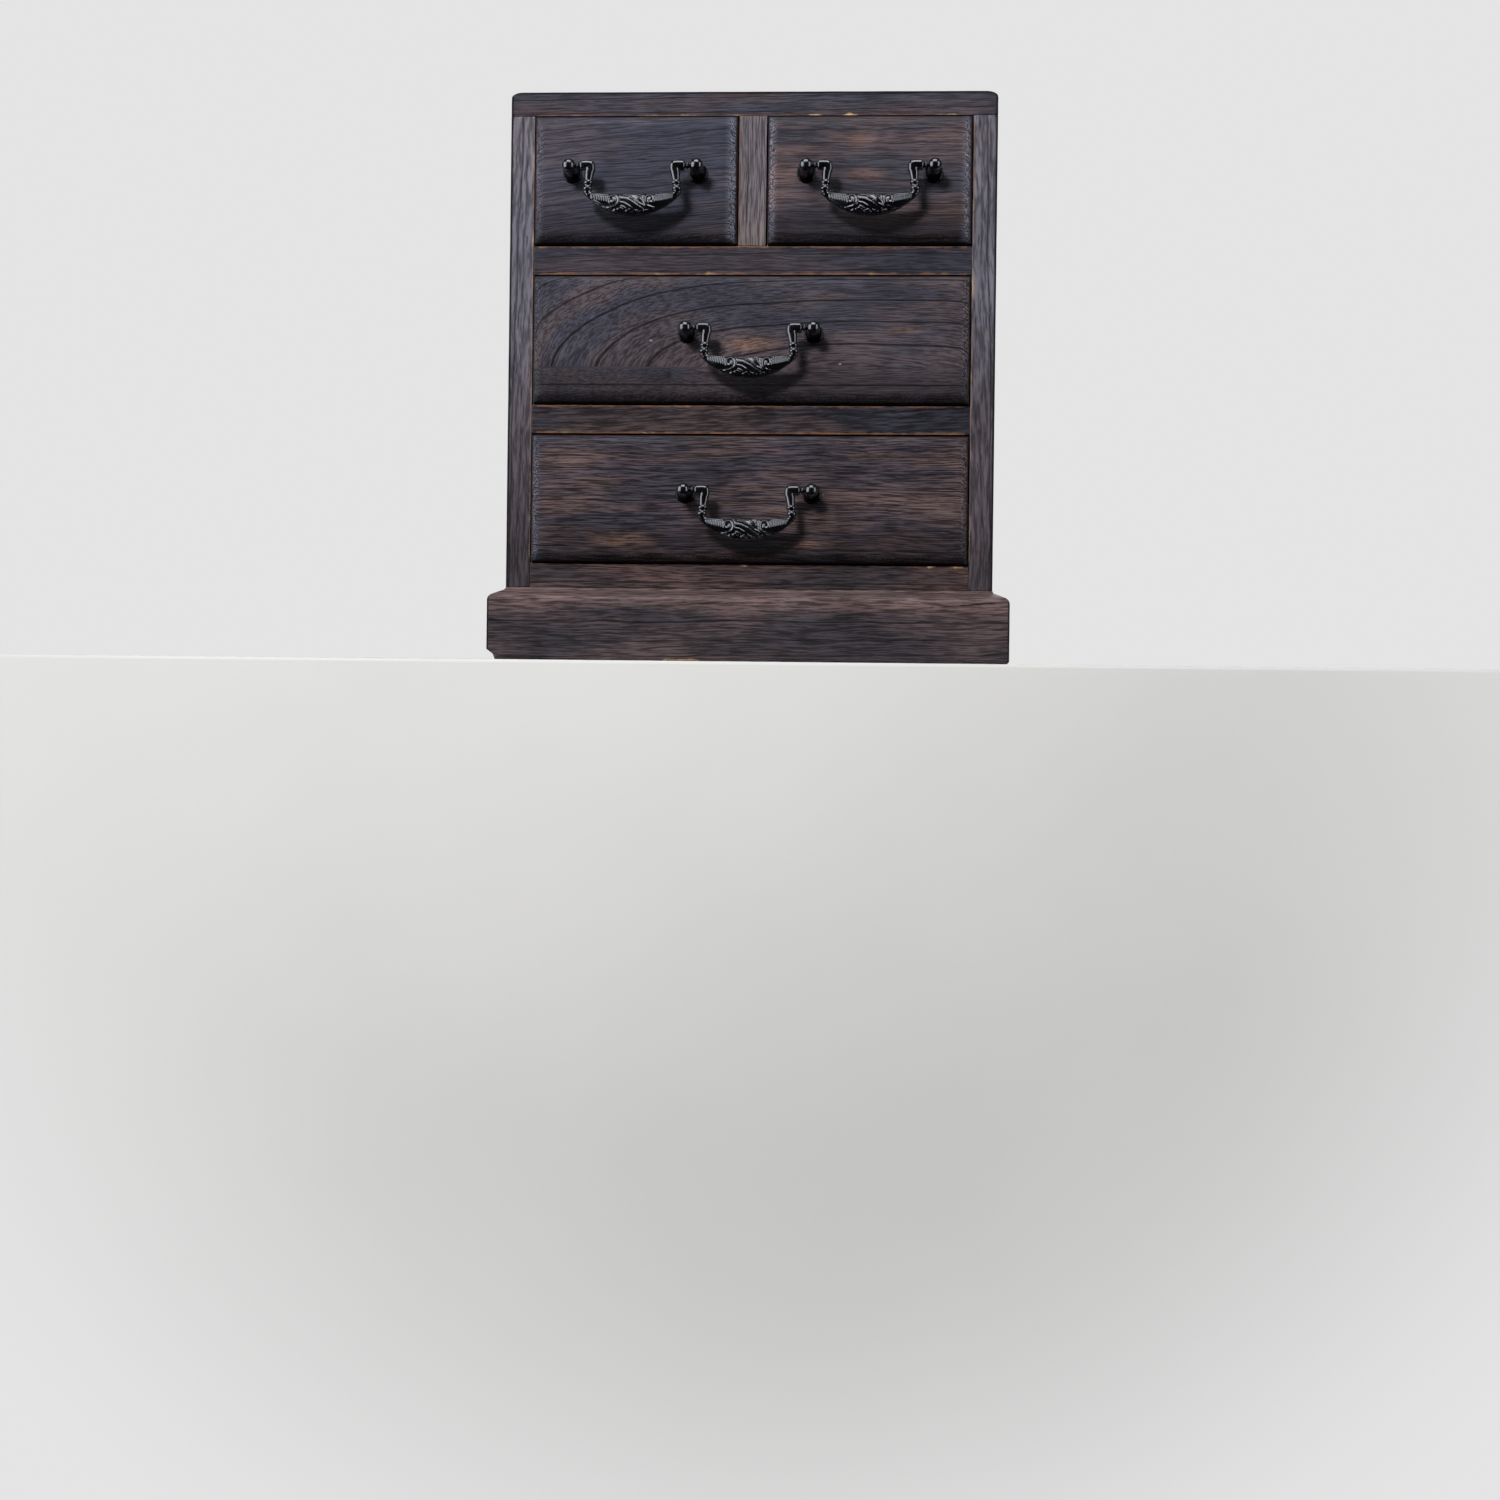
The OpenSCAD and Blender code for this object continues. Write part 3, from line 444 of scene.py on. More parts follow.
def burnt_wood(
    name,
    log,
    low,
    high,
    cool,
    warm,
    warmth,
    clouds=1.0,
    painted_light_above=None,
    line=0.4,
    grit=1.0,
    knobbly=1.5,
    worn_towards=(0, 0, 0),
    worn=0.8,
    rub=(120, 82, 63),
    span=None,
    chips=(),
    charred=(),
    char=0.4,
    tints=(),
    blushes=(),
    crack=None,
):
    """Scorched, brushed and waxed paulownia on the block from low to high, in clouds of a cool and a warm shade. The
    year's lines, the fibres' grit and their knobbly ends make it uneven. The arrises on its worn side are rubbed
    brown over a span of the grain, with bare chips at given places, and those on its charred sides are black. Tints
    colour it towards a side, blushes round a place, and a crack runs between two points, all given in mm."""
    material, tree, body, here = new_finish(name)
    wood = growth(here, log)
    warmer = wood["cloud"].spread(0.0, 1.0, warmth - 0.5 * clouds, warmth + 0.5 * clouds)
    rough = noise(here, 190.0, 4.0)
    at_x, _, at_z = here.parts()
    # Above a height the wood is painted paler and warmer, a painted highlight on the plinth's rounded nose, and below
    # it painted darker
    if painted_light_above is not None:
        level = at_z + wood["cloud"] * (4 * MM)
        warmer = warmer + level.spread((painted_light_above - 1) * MM, (painted_light_above + 7) * MM, -0.35, 0.4)
    colour = maths("MINIMUM", maths("MAXIMUM", warmer, 0.0), 1.0).blend(paint(*cool), paint(*warm))
    # Where the surface turns across the grain, the open ends of the fibres show as fine knobs
    facing = maths("DOT_PRODUCT", add(tree, "ShaderNodeNewGeometry", out=1), log["Grain"])
    turned = abs(facing).spread(0.1, 0.5)
    speckle = noise(here, 1300.0, 2.0).spread(0.36, 0.62, 0.25, 1.0)
    knobs = speckle * turned
    centre, half = (Vector(low) + Vector(high)) / 2, (Vector(high) - Vector(low)) / 2
    rel = here - centre

    def near(way, width):
        """1 close to the face that looks one way, and 0 from a width inside it."""
        reach = abs(half.dot(way))
        return maths("DOT_PRODUCT", rel, way).spread(reach - width * MM, reach - 0.3 * width * MM)

    # Painted shade and sheen on the fronts, other darkening towards a side, and brown blushes where the torch went
    # lightly
    for way, width, share, tint in tints:
        share = near(way, width) * share
        if width < NARROW:
            share = share * speckle
        colour = share.blend(colour, paint(*tint))
    for place, reach, share in blushes:
        away = (here - Vector(place) * MM) / (Vector(reach) * MM)
        away = maths("LENGTH", away * (1, 0, 1))
        share = away.spread(0.2, 1.0, share, 0.0) * rough.spread(0.3, 0.6, 0.4, 1.0)
        colour = share.blend(colour, BLUSH)
    # Hard fibres are paler, and the year's lines and the pores stay dark
    shade = wood["fibre"].spread(0.0, 1.0, 1 - 0.43 * grit, 1 + 0.38 * grit)
    shade = shade * wood["band"].spread(0.0, 1.0, 0.93, 1.06) * wood["line"].spread(0.0, 1.0, 1.0, line)
    shade = shade * ((speckle - 0.62) * turned * knobbly + 1.0) * wood["pore"].spread(0.0, 1.0, 1.0, 0.5)
    colour = colour * (shade * noise(here, 30.0, 3.0).spread(0.3, 0.7, 0.85, 1.14))
    if crack:
        (x, z), (end_x, end_z) = crack
        off_it = abs(at_z - at_x.spread(x * MM, end_x * MM, z * MM, end_z * MM))
        wander = rough.spread(0.3, 0.7, -0.25 * MM, 0.35 * MM)
        open_wood = (off_it + wander).spread(0.1 * MM, 0.5 * MM, 0.75, 0.0) * at_x.spread(x * MM, (x + 6) * MM)
        colour = open_wood.blend(colour, CRACK)
    # The second smallest distance to the block's faces is the distance to its nearest arris
    gap = abs(abs(rel) - half).parts()
    nearest = maths("MINIMUM", maths("MAXIMUM", gap[0], gap[1]), gap[2])
    nearest = maths("MAXIMUM", maths("MINIMUM", gap[0], gap[1]), nearest)

    # Hands and drawers rub an arris brown, and chips lay it bare
    if any(worn_towards):
        bare = noise(here, 60.0, 3.0).spread(0.6, 0.85)
        along = maths("DOT_PRODUCT", here, log["Grain"])
        for place, length, depth in chips:
            chip = abs(along - place * MM).spread(0.4 * length * MM, length * MM, depth, 0.0)
            bare = maths("MAXIMUM", bare, chip)
        reach = rough.spread(0.3, 0.7, 0.4, 1.5) * (worn * MM) * bare.spread(0.0, 1.0, 1.0, 1.8)
        towards = maths("DOT_PRODUCT", rel / half, worn_towards)
        rubbed = nearest.spread(0.2 * MM, reach, 1.0, 0.0) * towards.spread(0.3, 0.95)
        if span:
            middle, reach = (span[0] + span[1]) / 2 * MM, (span[1] - span[0]) / 2 * MM
            rubbed = rubbed * abs(along - middle).spread(reach - 1 * MM, reach, 1.0, 0.0)
        brown = bare.blend(paint(*rub), BARE_CHIP) * wood["fibre"].spread(0.0, 1.0, 0.7, 1.2)
        colour = (rubbed * 0.9).blend(colour, brown)
    # The brush left the char along the outer arrises
    black = 0.0
    for way in charred:
        black = maths("MAXIMUM", near(way, CHARRED_W), black)
    black = nearest.spread(char * MM, (char + 0.9) * MM, 0.96, 0.0) * black
    colour = black.blend(colour, BLACKENED)
    # Pale flecks of dust and wax, a little longer along the grain
    dust = {"Vector": here * [0.55 if axis else 1.0 for axis in log["Grain"]], "Scale": 75.0}
    dust = add(tree, "ShaderNodeTexVoronoi", dust)
    chance = add(tree, "ShaderNodeSeparateColor", {0: Value(dust.socket.node.outputs["Color"])})
    colour = (dust.spread(0.02, 0.05, 0.6, 0.0) * maths("GREATER_THAN", chance, RARE)).blend(colour, FLECK)
    height = wood["fibre"] + wood["band"] * 0.5 - wood["pore"] + knobs * 2.2
    inputs = {
        "Base Color": colour,
        "Roughness": wood["fibre"].spread(0.0, 1.0, 0.58, 0.38),
        "Specular IOR Level": knobs * 0.16 + 0.1,
        "Normal": bump(height, 0.55, 0.13),
    }
    feed(body, inputs)
    return material


def board(
    name,
    body,
    nodes,
    low,
    high,
    pitch,
    log,
    colours,
    margin=(2.4, 2.4, 2.4),
    margin_cells=(4, 4, 4),
    depth=0.09,
    waste=(),
    wear_low=None,
    shape=(),
    **wear,
):
    """A brushed board from low to high, in metres, that rides on a body and stands for its nodes. The pitch of its
    cells and their margin are in mm, and its wear is counted from another low corner where one is given."""
    low, high = Vector(low), Vector(high)
    margin, margin_cells = Vector(margin) * MM, Vector(margin_cells)
    cells = [
        2 * k + max(1, round((b - a - 2 * m) / (p * MM)))
        for a, b, m, k, p in zip(low, high, margin, margin_cells, pitch)
    ]
    material = burnt_wood(name, log, wear_low or low, high, *colours, **wear)
    plane = {
        "Low": low,
        "High": high,
        "Cells": Vector(cells),
        "Margin": margin,
        "Margin cells": margin_cells,
        "Edge": 0.35 * MM,
        "Facing": (0, 0, 1),
        "Back": low,
        "Round": (0, 0, 0),
        "Round width": 1.0,
        "Round depth": 0.0,
        "Roundness": 1.0,
        "Cut": bool(waste),
        "Material": material,
        **dict(shape),
    }
    thing = worked(name, blocks(name, waste), [(planed_board, plane), brushing(log, material, depth)])
    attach(thing, body)
    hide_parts(*nodes)
    return thing


OVERCUT = 1.0 * MM
top_low, top_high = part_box("top_board")
panel_low, panel_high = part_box("back_panel")
COOL, WARM = (58, 59, 70), (80, 66, 69)
END_W, END_H = 6 * MM, 3 * MM
board(
    "top_board_burnt",
    "carcass",
    ["top_board"],
    top_low,
    top_high,
    (4.0, 0.9, 0.6),
    log_of("x", "y", (0, 20, 130), lean=(0, 0.02, 0.03), ring=6.0),
    (COOL, WARM, 0.35),
    waste=[((panel_low.x, panel_low.y, top_low.z - OVERCUT), (panel_high.x, top_high.y + OVERCUT, panel_high.z))],
    margin=(7.0, 2.4, 2.4),
    margin_cells=(10, 4, 4),
    charred=[UP, RIGHT, LEFT],
    char=0.8,
    span=(-111, 111),
    worn_towards=(0, -0.2, -1),
    chips=[(49, 5, 1.0), (31, 4, 0.6), (-45, 20, 0.3)],
    clouds=0.6,
    shape={"Round": (END_W, 0, 0), "Round width": END_W, "Round depth": END_H, "Roundness": 0.999},
)


# Side boards
# One board each side with upright grain, rebated behind for the back panel. Their front edges show beside the
# drawers, where light along the grain makes the left one paler.
side_low, side_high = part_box("side_right")
for name, sign in (("side_left", -1), ("side_right", 1)):
    low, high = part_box(name)
    rebate = sorted((sign * (side_low.x - OVERCUT), sign * panel_high.x))
    board(
        name + "_burnt",
        "carcass",
        [name],
        low,
        high,
        (0.6, 0.9, 4.0),
        log_of("z", "y", (sign * 90, -30, 0), lean=(0.03 * sign, 0.02, 0), ring=4.5),
        ((95, 94, 105), (109, 101, 107), 0.4),
        waste=[((rebate[0], panel_low.y, low.z - OVERCUT), (rebate[1], high.y + OVERCUT, high.z + OVERCUT))],
        charred=[(sign, 0, 0)],
        char=0.8,
        span=(52, 277),
        worn_towards=(-sign, -0.3, 0),
        worn=1.0,
        rub=(137, 113, 101),
        tints=[(DOWN, 175, 0.75, (72, 63, 67)), (DOWN, 60, 0.5 - 0.2 * sign, (46, 41, 45))],
        grit=1.1,
    )


# Bottom board and rails
# The bottom board shows as a low band over the plinth. The two rails close the gaps between the drawer rows and
# are tenoned into the side boards; each has a lap behind for its dust board.
bottom_low, bottom_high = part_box("bottom_board")
inner_x = side_low.x
BETWEEN_SIDES = (-109.5, 109.5)
board(
    "bottom_board_burnt",
    "carcass",
    ["bottom_board"],
    (-inner_x, bottom_low.y, bottom_low.z),
    (inner_x, bottom_high.y, bottom_high.z),
    (4.0, 1.6, 0.5),
    log_of("x", "y", (0, -60, 10), lean=(0, 0.02, 0.02), ring=7.0),
    ((56, 51, 55), (82, 65, 64), 0.55),
    worn_towards=(0, -0.2, 1),
    grit=1.4,
    chips=[(86, 2, 0.7), (93, 3, 0.9), (106, 5, 0.8), (-2, 3, 0.6)],
    span=BETWEEN_SIDES,
)
for name, dust, heart, colours, grit in (
    ("lower_rail", "lower_dust_board", 150, ((46, 46, 54), (63, 53, 54), 0.4), 1.4),
    ("upper_rail", "upper_dust_board", 165, ((53, 53, 63), (65, 58, 63), 0.4), 0.9),
):
    low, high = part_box(name)
    dust_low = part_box(dust)[0]
    board(
        name + "_burnt",
        "carcass",
        [name],
        (-inner_x, low.y, low.z),
        (inner_x, high.y, high.z),
        (3.0, 1.0, 0.5),
        log_of("x", "y", (0, -40, heart), lean=(0, 0.01, 0.02), ring=5.0),
        colours,
        grit=grit,
        waste=[((-inner_x - OVERCUT, dust_low.y, dust_low.z), (inner_x + OVERCUT, high.y + OVERCUT, high.z + OVERCUT))],
        worn_towards=(0, -1, 0),
        worn=1.4,
        rub=(128, 92, 70),
        span=BETWEEN_SIDES,
    )


# Partition
# An upright board between the two small drawers, browner than the rest, with its grain upright. Its left front edge
# is rubbed brown by the drawer beside it.
low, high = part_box("partition")
board(
    "partition_burnt",
    "carcass",
    ["partition"],
    (low.x, low.y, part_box("upper_rail")[1].z),
    (high.x, high.y, top_low.z),
    (0.5, 2.0, 2.0),
    log_of("z", "y", (-30, -50, 200), lean=(0.02, 0.02, 0), ring=4.0),
    ((99, 94, 100), (120, 107, 106), 0.55),
    worn_towards=(-0.6, -0.6, 0),
)


# Plinth
# Three moulded boards, mitred at the front corners and glued under the carcass, and a plain one behind. A small cove,
# a slope and a rounded nose run along their upper edge, and a drying crack under the nose on the right. The lower left
# corner is knocked off and the foot is rubbed here and there.
front_y, back_y, plinth_top, half_w = side_low.y, side_high.y, side_low.z, side_high.x
PLINTH_OUT, PLINTH_LAP = 8.0 * MM, 14.0 * MM
COVE, NOSE, SLOPE, FOOT_CHAMFER = 1.6 * MM, 4.0 * MM, 26, 1.2 * MM
KNOCK_W, KNOCK_H, KNOCK_D = 7.6 * MM, 5.2 * MM, 16 * MM
PLINTH_COLOURS = ((56, 52, 57), (98, 81, 81), 0.5)
SHOWN_CELL, HIDDEN_CELL, PLINTH_RINGS = 0.55 * MM, 6.0 * MM, 100


def turning(centre, radius, start, end, steps):
    """Points along a part of a circle, from one angle to another in degrees."""
    angles = np.radians(np.linspace(start, end, steps + 1))
    return [(centre[0] + radius * cos(a), centre[1] + radius * sin(a)) for a in angles]


cove = turning((COVE, plinth_top), COVE, 270 - SLOPE, 180, 6)
slope_end = PLINTH_OUT - NOSE * (1 - sin(radians(SLOPE)))
nose_z = cove[0][1] - (slope_end - cove[0][0]) * tan(radians(SLOPE)) - NOSE * cos(radians(SLOPE))
corners = [(-PLINTH_LAP, 0.0), (PLINTH_OUT - FOOT_CHAMFER, 0.0), (PLINTH_OUT, FOOT_CHAMFER)]
corners += turning((PLINTH_OUT - NOSE, nose_z), NOSE, 0, 90 - SLOPE, 8)
corners += cove + [(-PLINTH_LAP, plinth_top)]
outline = []
for (out, z), (next_out, next_z) in zip(corners, corners[1:] + corners[:1]):
    cell = HIDDEN_CELL if min(out, next_out) < -PLINTH_LAP / 2 else SHOWN_CELL
    steps = max(1, round(float(np.hypot(next_out - out, next_z - z)) / cell))
    outline += [(out + (next_out - out) * i / steps, z + (next_z - z) * i / steps) for i in range(steps)]


def knocked(point):
    """The lower left front corner, broken off along a slant that fades out to the back."""
    x, y, z = point
    short = 1 - (x + half_w + PLINTH_OUT) / KNOCK_W - z / KNOCK_H
    fade = min(1.0, max(0.0, (front_y + PLINTH_LAP - y) / KNOCK_D))
    if short > 0:
        push = short * fade / (1 / KNOCK_W**2 + 1 / KNOCK_H**2)
        return (x + push / KNOCK_W, y, z + push / KNOCK_H)
    return point


def tube_faces(rings, around):
    """The faces of a closed tube of rings, each of so many points, with a flat cap at both ends."""
    faces = [
        (i * around + j, (i + 1) * around + j, (i + 1) * around + (j + 1) % around, i * around + (j + 1) % around)
        for i in range(rings - 1)
        for j in range(around)
    ]
    last = (rings - 1) * around
    return faces + [tuple(range(around)), tuple(range(last, last + around))[::-1]]


def moulding(name, stations, place):
    """A closed mesh of the plinth's outline carried along its stations."""
    points = [knocked(place(out, z, s)) for s in stations for out, z in outline]
    return new_mesh(name, points, tube_faces(len(stations), len(outline)))


plinth_pieces = {
    "plinth_front": (
        "x",
        lambda out, z, s: ((2 * s - 1) * (half_w + out), front_y - out, z),
        (0, -130, 40),
        (0, 0.01, 0.02),
    ),
    "plinth_right": (
        "y",
        lambda out, z, s: (half_w + out, front_y - out + s * (back_y - front_y + out), z),
        (160, 0, 30),
        (0.01, 0, 0.02),
    ),
    "plinth_left": (
        "y",
        lambda out, z, s: (-half_w - out, back_y - s * (back_y - front_y + out), z),
        (-165, 0, 25),
        (0.01, 0, 0.02),
    ),
}
for name, (grain, place, pith, lean) in plinth_pieces.items():
    log = log_of(grain, "z", pith, lean, ring=5.5)
    low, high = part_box(name)
    material = burnt_wood(
        name,
        log,
        low,
        high,
        *PLINTH_COLOURS,
        worn_towards=DOWN,
        chips=[(-34, 14, 0.8)],
        charred=[RIGHT, LEFT],
        painted_light_above=25.0,
        grit=1.3,
        clouds=0.55,
        crack=((88, 28.2), (131, 30.8)) if name == "plinth_front" else None,
    )
    mesh = moulding(name, np.linspace(0, 1, PLINTH_RINGS), place)
    thing = worked(name + "_burnt", mesh, [brushing(log, material)])
    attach(thing, "carcass")
    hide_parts(name)
low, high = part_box("plinth_back")
board(
    "plinth_back_burnt",
    "carcass",
    ["plinth_back"],
    low,
    high,
    (4.0, 1.4, 0.6),
    log_of("x", "y", (0, 150, 60), lean=(0, 0.01, 0.02), ring=6.0),
    (COOL, WARM, 0.5),
)


# Drawer fronts
# Four paulownia fronts with level grain, each standing out of the case with its edges rounded over to a low square
# arris. Laps cut in the back take the drawer sides.
ROUND_W, ROUND_H, ROUNDNESS = 6.0 * MM, 3.0 * MM, 0.8
LAP_PLAY = 0.05 * MM
# A pale bluish tint on some side bevels of the fronts is a painted sheen
PAINTED_SHEEN, DARK_TINT, BLUE_CHAR = (156, 159, 180), (22, 18, 20), (50, 54, 70)
# Every front is painted darker along its bottom: painted shade on the bevel that faces down and under the bail's grip
PAINTED_SHADE_BELOW = [(DOWN, 7, 0.9, DARK_TINT), (DOWN, 26, 0.5, DARK_TINT)]
FRONTS = {
    "upper_left": {
        "log": log_of("x", "y", (0, -20, 330), (0, 0.02, 0.06), 4.5, 5.0),
        "colours": ((59, 60, 72), (75, 68, 76), 0.25),
        "grit": 0.85,
        "tints": [*PAINTED_SHADE_BELOW, (RIGHT, 7, 0.3, PAINTED_SHEEN)],
    },
    "upper_right": {
        "log": log_of("x", "y", (0, -10, 345), (0, 0.02, -0.03), 4.5, 4.0),
        "colours": ((60, 58, 66), (92, 76, 77), 0.45),
        "grit": 0.95,
        "tints": [*PAINTED_SHADE_BELOW, (LEFT, 6, 0.15, PAINTED_SHEEN), (RIGHT, 7, 0.25, PAINTED_SHEEN), (RIGHT, 2.5, 0.8, DARK_TINT)],
        "blushes": [((54, 1, 264), (12, 1, 6), 0.25), ((57, 1, 247), (14, 1, 4), 0.28)],
    },
    "middle": {
        "log": log_of("x", "y", (0, -110.2, 143), (0, 0.19, 0.005), 10.4, 3.0, (0, -1.6, 0), 148.0),
        "colours": ((59, 58, 68), (77, 68, 72), 0.4),
        "line": 0.2,
        "grit": 1.15,
        "knobbly": 2.4,
        "tints": [*PAINTED_SHADE_BELOW, (LEFT, 7, 0.5, DARK_TINT), (RIGHT, 5, 0.3, DARK_TINT)],
        "blushes": [((0, 1, 161), (19, 1, 5.5), 0.5), ((78, 1, 168), (13, 1, 2.5), 0.35)],
    },
    "lower": {
        "log": log_of("x", "y", (0, -60, 180), (0, 0.03, -0.02), 7.5, 5.0),
        "colours": ((56, 52, 60), (84, 69, 69), 0.5),
        "grit": 1.75,
        "knobbly": 2.4,
        "tints": [*PAINTED_SHADE_BELOW, (LEFT, 9, 0.7, BLUE_CHAR), (RIGHT, 6, 0.5, DARK_TINT)],
        "blushes": [((-64, 1, 62), (24, 1, 6), 0.3), ((30, 1, 60), (26, 1, 3), 0.3)],
    },
}
for place, own in FRONTS.items():
    name = place + "_drawer"
    low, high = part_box(name + "_front")
    side_box_low, side_box_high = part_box(name + "_side_left")
    lap_w, lap_y = side_box_high.x - side_box_low.x, side_box_low.y - LAP_PLAY
    laps = [
        ((a, lap_y, low.z - OVERCUT), (b, high.y + OVERCUT, high.z + OVERCUT))
        for a, b in ((low.x - OVERCUT, low.x + lap_w), (high.x - lap_w, high.x + OVERCUT))
    ]
    board(
        name + "_front_burnt",
        name,
        [name + "_front"],
        low,
        high,
        (1.8, 2.4, 0.52),
        waste=laps,
        charred=[RIGHT, LEFT, UP, DOWN],
        wear_low=(low.x, low.y + ROUND_H, low.z),
        margin=(7.0, 2.4, 7.0),
        margin_cells=(11, 4, 12),
        depth=0.06,
        shape={
            "Edge": 0.5 * MM,
            "Facing": (0, -1, 0),
            "Back": high,
            "Round": (ROUND_W, 0, ROUND_W),
            "Round width": ROUND_W,
            "Round depth": ROUND_H,
            "Roundness": ROUNDNESS,
        },
        **own,
    )


# Dust boards, back panel, drawer boxes, stops and glue blocks
# Planed paulownia left bare, since none of it shows when the drawers are shut.
def bare_wood(name, log, pale, dark):
    """Planed paulownia with darker year's lines and fine open pores."""
    material, _, body, here = new_finish(name)
    wood = growth(here, log)
    cloud = noise(here * [5.0 if axis else 20.0 for axis in log["Grain"]], 1.0, 3.0)
    mixed = wood["line"] * 0.5 + cloud.spread(0.35, 0.7, 0.0, 0.5)
    shade = wood["fibre"].spread(0.0, 1.0, 0.86, 1.08) * wood["pore"].spread(0.0, 1.0, 1.0, 0.72)
    inputs = {
        "Base Color": mixed.blend(paint(*pale), paint(*dark)) * shade,
        "Roughness": wood["fibre"].spread(0.0, 1.0, 0.68, 0.54),
        "Normal": bump(wood["fibre"] - wood["pore"], 0.35, 0.1),
    }
    feed(body, inputs)
    return material


PALE, STRAW = (214, 179, 141), (168, 132, 99)
bare = {
    "x": bare_wood("bare_level", log_of("x", "y", (0, -60, -40), (0, 0.02, 0.03), 6.0), PALE, STRAW),
    "y": bare_wood("bare_deep", log_of("y", "z", (10, 0, 420), (0.02, 0, 0.03), 6.0), PALE, STRAW),
    "z": bare_wood("bare_upright", log_of("z", "x", (30, 300, 0), (0.02, 0.01, 0), 7.0), PALE, STRAW),
}


def dress(node, material):
    """Gives a piece that keeps its built shape a finish."""
    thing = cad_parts[node]
    thing.data.materials.clear()
    thing.data.materials.append(material)


DRAWERS = [place + "_drawer" for place in FRONTS]
for node in ("lower_dust_board", "upper_dust_board", "drawer_stops"):
    dress(node, bare["x"])
for node in ("back_panel", "plinth_blocks"):
    dress(node, bare["z"])
for name in DRAWERS:
    dress(name + "_side_left", bare["y"])
    dress(name + "_side_right", bare["y"])
    dress(name + "_back", bare["x"])
    dress(name + "_bottom", bare["x"])


# Pegs and nails
# Wooden pegs hold the top and the rails, and cut bamboo nails hold the back panel and the drawer boxes. Their end
# grain shows as small dark dots.
def end_grain(name, pale, dark, dots):
    """A cut end with dark bundles of fibre, so many across a metre."""
    material, tree, body, here = new_finish(name)
    spots = add(tree, "ShaderNodeTexVoronoi", {"Vector": here, "Scale": dots})
    cloud = noise(here, 900.0, 3.0)
    colour = spots.spread(0.15, 0.45).blend(paint(*dark), paint(*pale))
    inputs = {
        "Base Color": colour * cloud.spread(0.3, 0.7, 0.8, 1.15),
        "Roughness": cloud.spread(0.3, 0.7, 0.5, 0.65),
        "Normal": bump(spots, 0.3, 0.05),
    }
    feed(body, inputs)
    return material


peg_wood = end_grain("peg_wood", (92, 75, 70), (51, 41, 40), 2600.0)
bamboo = end_grain("bamboo", (204, 166, 113), (128, 92, 56), 3400.0)
for node in ("top_pegs", "side_pegs"):
    dress(node, peg_wood)
for node in ["back_nails"] + [name + "_nails" for name in DRAWERS]:
    dress(node, bamboo)


# Handle posts
# Two cast iron posts a drawer: a thin round foot, a hollow bell and a ball, finished in gloss black lacquer. They
# are turned alike and repeated.
def lathe(name, line, sides):
    """A closed mesh turned round +Z from (radius, height) points that start and end on the axis."""
    points, faces = [(0, 0, line[0][1])], []
    for radius, height in line[1:-1]:
        points += [(radius * cos(2 * pi * k / sides), radius * sin(2 * pi * k / sides), height) for k in range(sides)]
    points.append((0, 0, line[-1][1]))
    last = len(points) - 1
    for k in range(sides):
        n = (k + 1) % sides
        faces.append((0, 1 + n, 1 + k))
        for i in range(len(line) - 3):
            a = 1 + i * sides
            faces.append((a + k, a + n, a + sides + n, a + sides + k))
        a = 1 + (len(line) - 3) * sides
        faces.append((a + k, a + n, last))
    return new_mesh(name, points, faces)


lacquer, tree, body, here = new_finish("gloss_black_lacquer")
dust = noise(here, 90.0, 3.0)
# The feet lose their gloss next to the wood, a painted shade in the corner where they stand
FULL_GLOSS_FROM, DULL_FROM = -104 * MM, -97 * MM
gloss_out_of_shade = here.parts()[1].spread(FULL_GLOSS_FROM, DULL_FROM, 1.0, 0.12)
inputs = {
    "Base Color": dust.spread(0.4, 0.7).blend(paint(3, 3, 6), paint(8, 8, 12)),
    "Roughness": dust.spread(0.35, 0.7, 0.16, 0.3),
    "Specular IOR Level": gloss_out_of_shade * 0.5,
    "Specular Tint": (0.9, 0.92, 1.0, 1.0),
    "Coat Weight": gloss_out_of_shade * 0.9,
    "Coat Roughness": 0.11,
    "Normal": bump(noise(here, 420.0, 4.0), 0.12, 0.03),
}
feed(body, inputs)

FOOT_R, NECK_R, BALL_R, BALL_STAND = 4.9, 2.8, 3.5, 13.2
POST_SPAN, POST_SIDES = 64.0 * MM, 64
line = [(0, 0), (4.7, 0), (FOOT_R, 0.2), (FOOT_R, 0.55), (4.75, 0.8)]
bell_top = BALL_STAND - BALL_R
for a in np.linspace(0.08, 1, 14) * pi / 2:
    line.append((NECK_R + (4.6 - NECK_R) * (1 - sin(a)), 0.85 + (bell_top - 1.3 - 0.85) * (1 - cos(a))))
line += [(3.1, bell_top - 1.05), (3.2, bell_top - 0.75), (3.1, bell_top - 0.45), (2.8, bell_top - 0.2)]
line += [(BALL_R * sin(a), BALL_STAND - BALL_R * cos(a)) for a in np.linspace(radians(52), pi, 26)[:-1]]
line.append((0, BALL_STAND + BALL_R))
post = lathe("post", [(r * MM, h * MM) for r, h in line], POST_SIDES)

# The tree that sets like fittings in a row, each turned to its place
in_a_row, given = open_tree(
    "in_a_row",
    {"Count": "Int", "First": "Vector", "Step": "Vector", "Turn": "Vector", "Material": "Material"},
)
tree = in_a_row
spots = {"Count": given["Count"], "Start Location": given["First"], "Offset": given["Step"]}
spots = add(tree, "GeometryNodeMeshLine", spots, mode="OFFSET")
row = {"Points": spots, "Instance": given["Geometry"], "Rotation": given["Turn"]}
row = add(tree, "GeometryNodeRealizeInstances", {0: add(tree, "GeometryNodeInstanceOnPoints", row)})
close_tree(tree, add(tree, "GeometryNodeSetShadeSmooth", {"Geometry": row}), given["Material"])

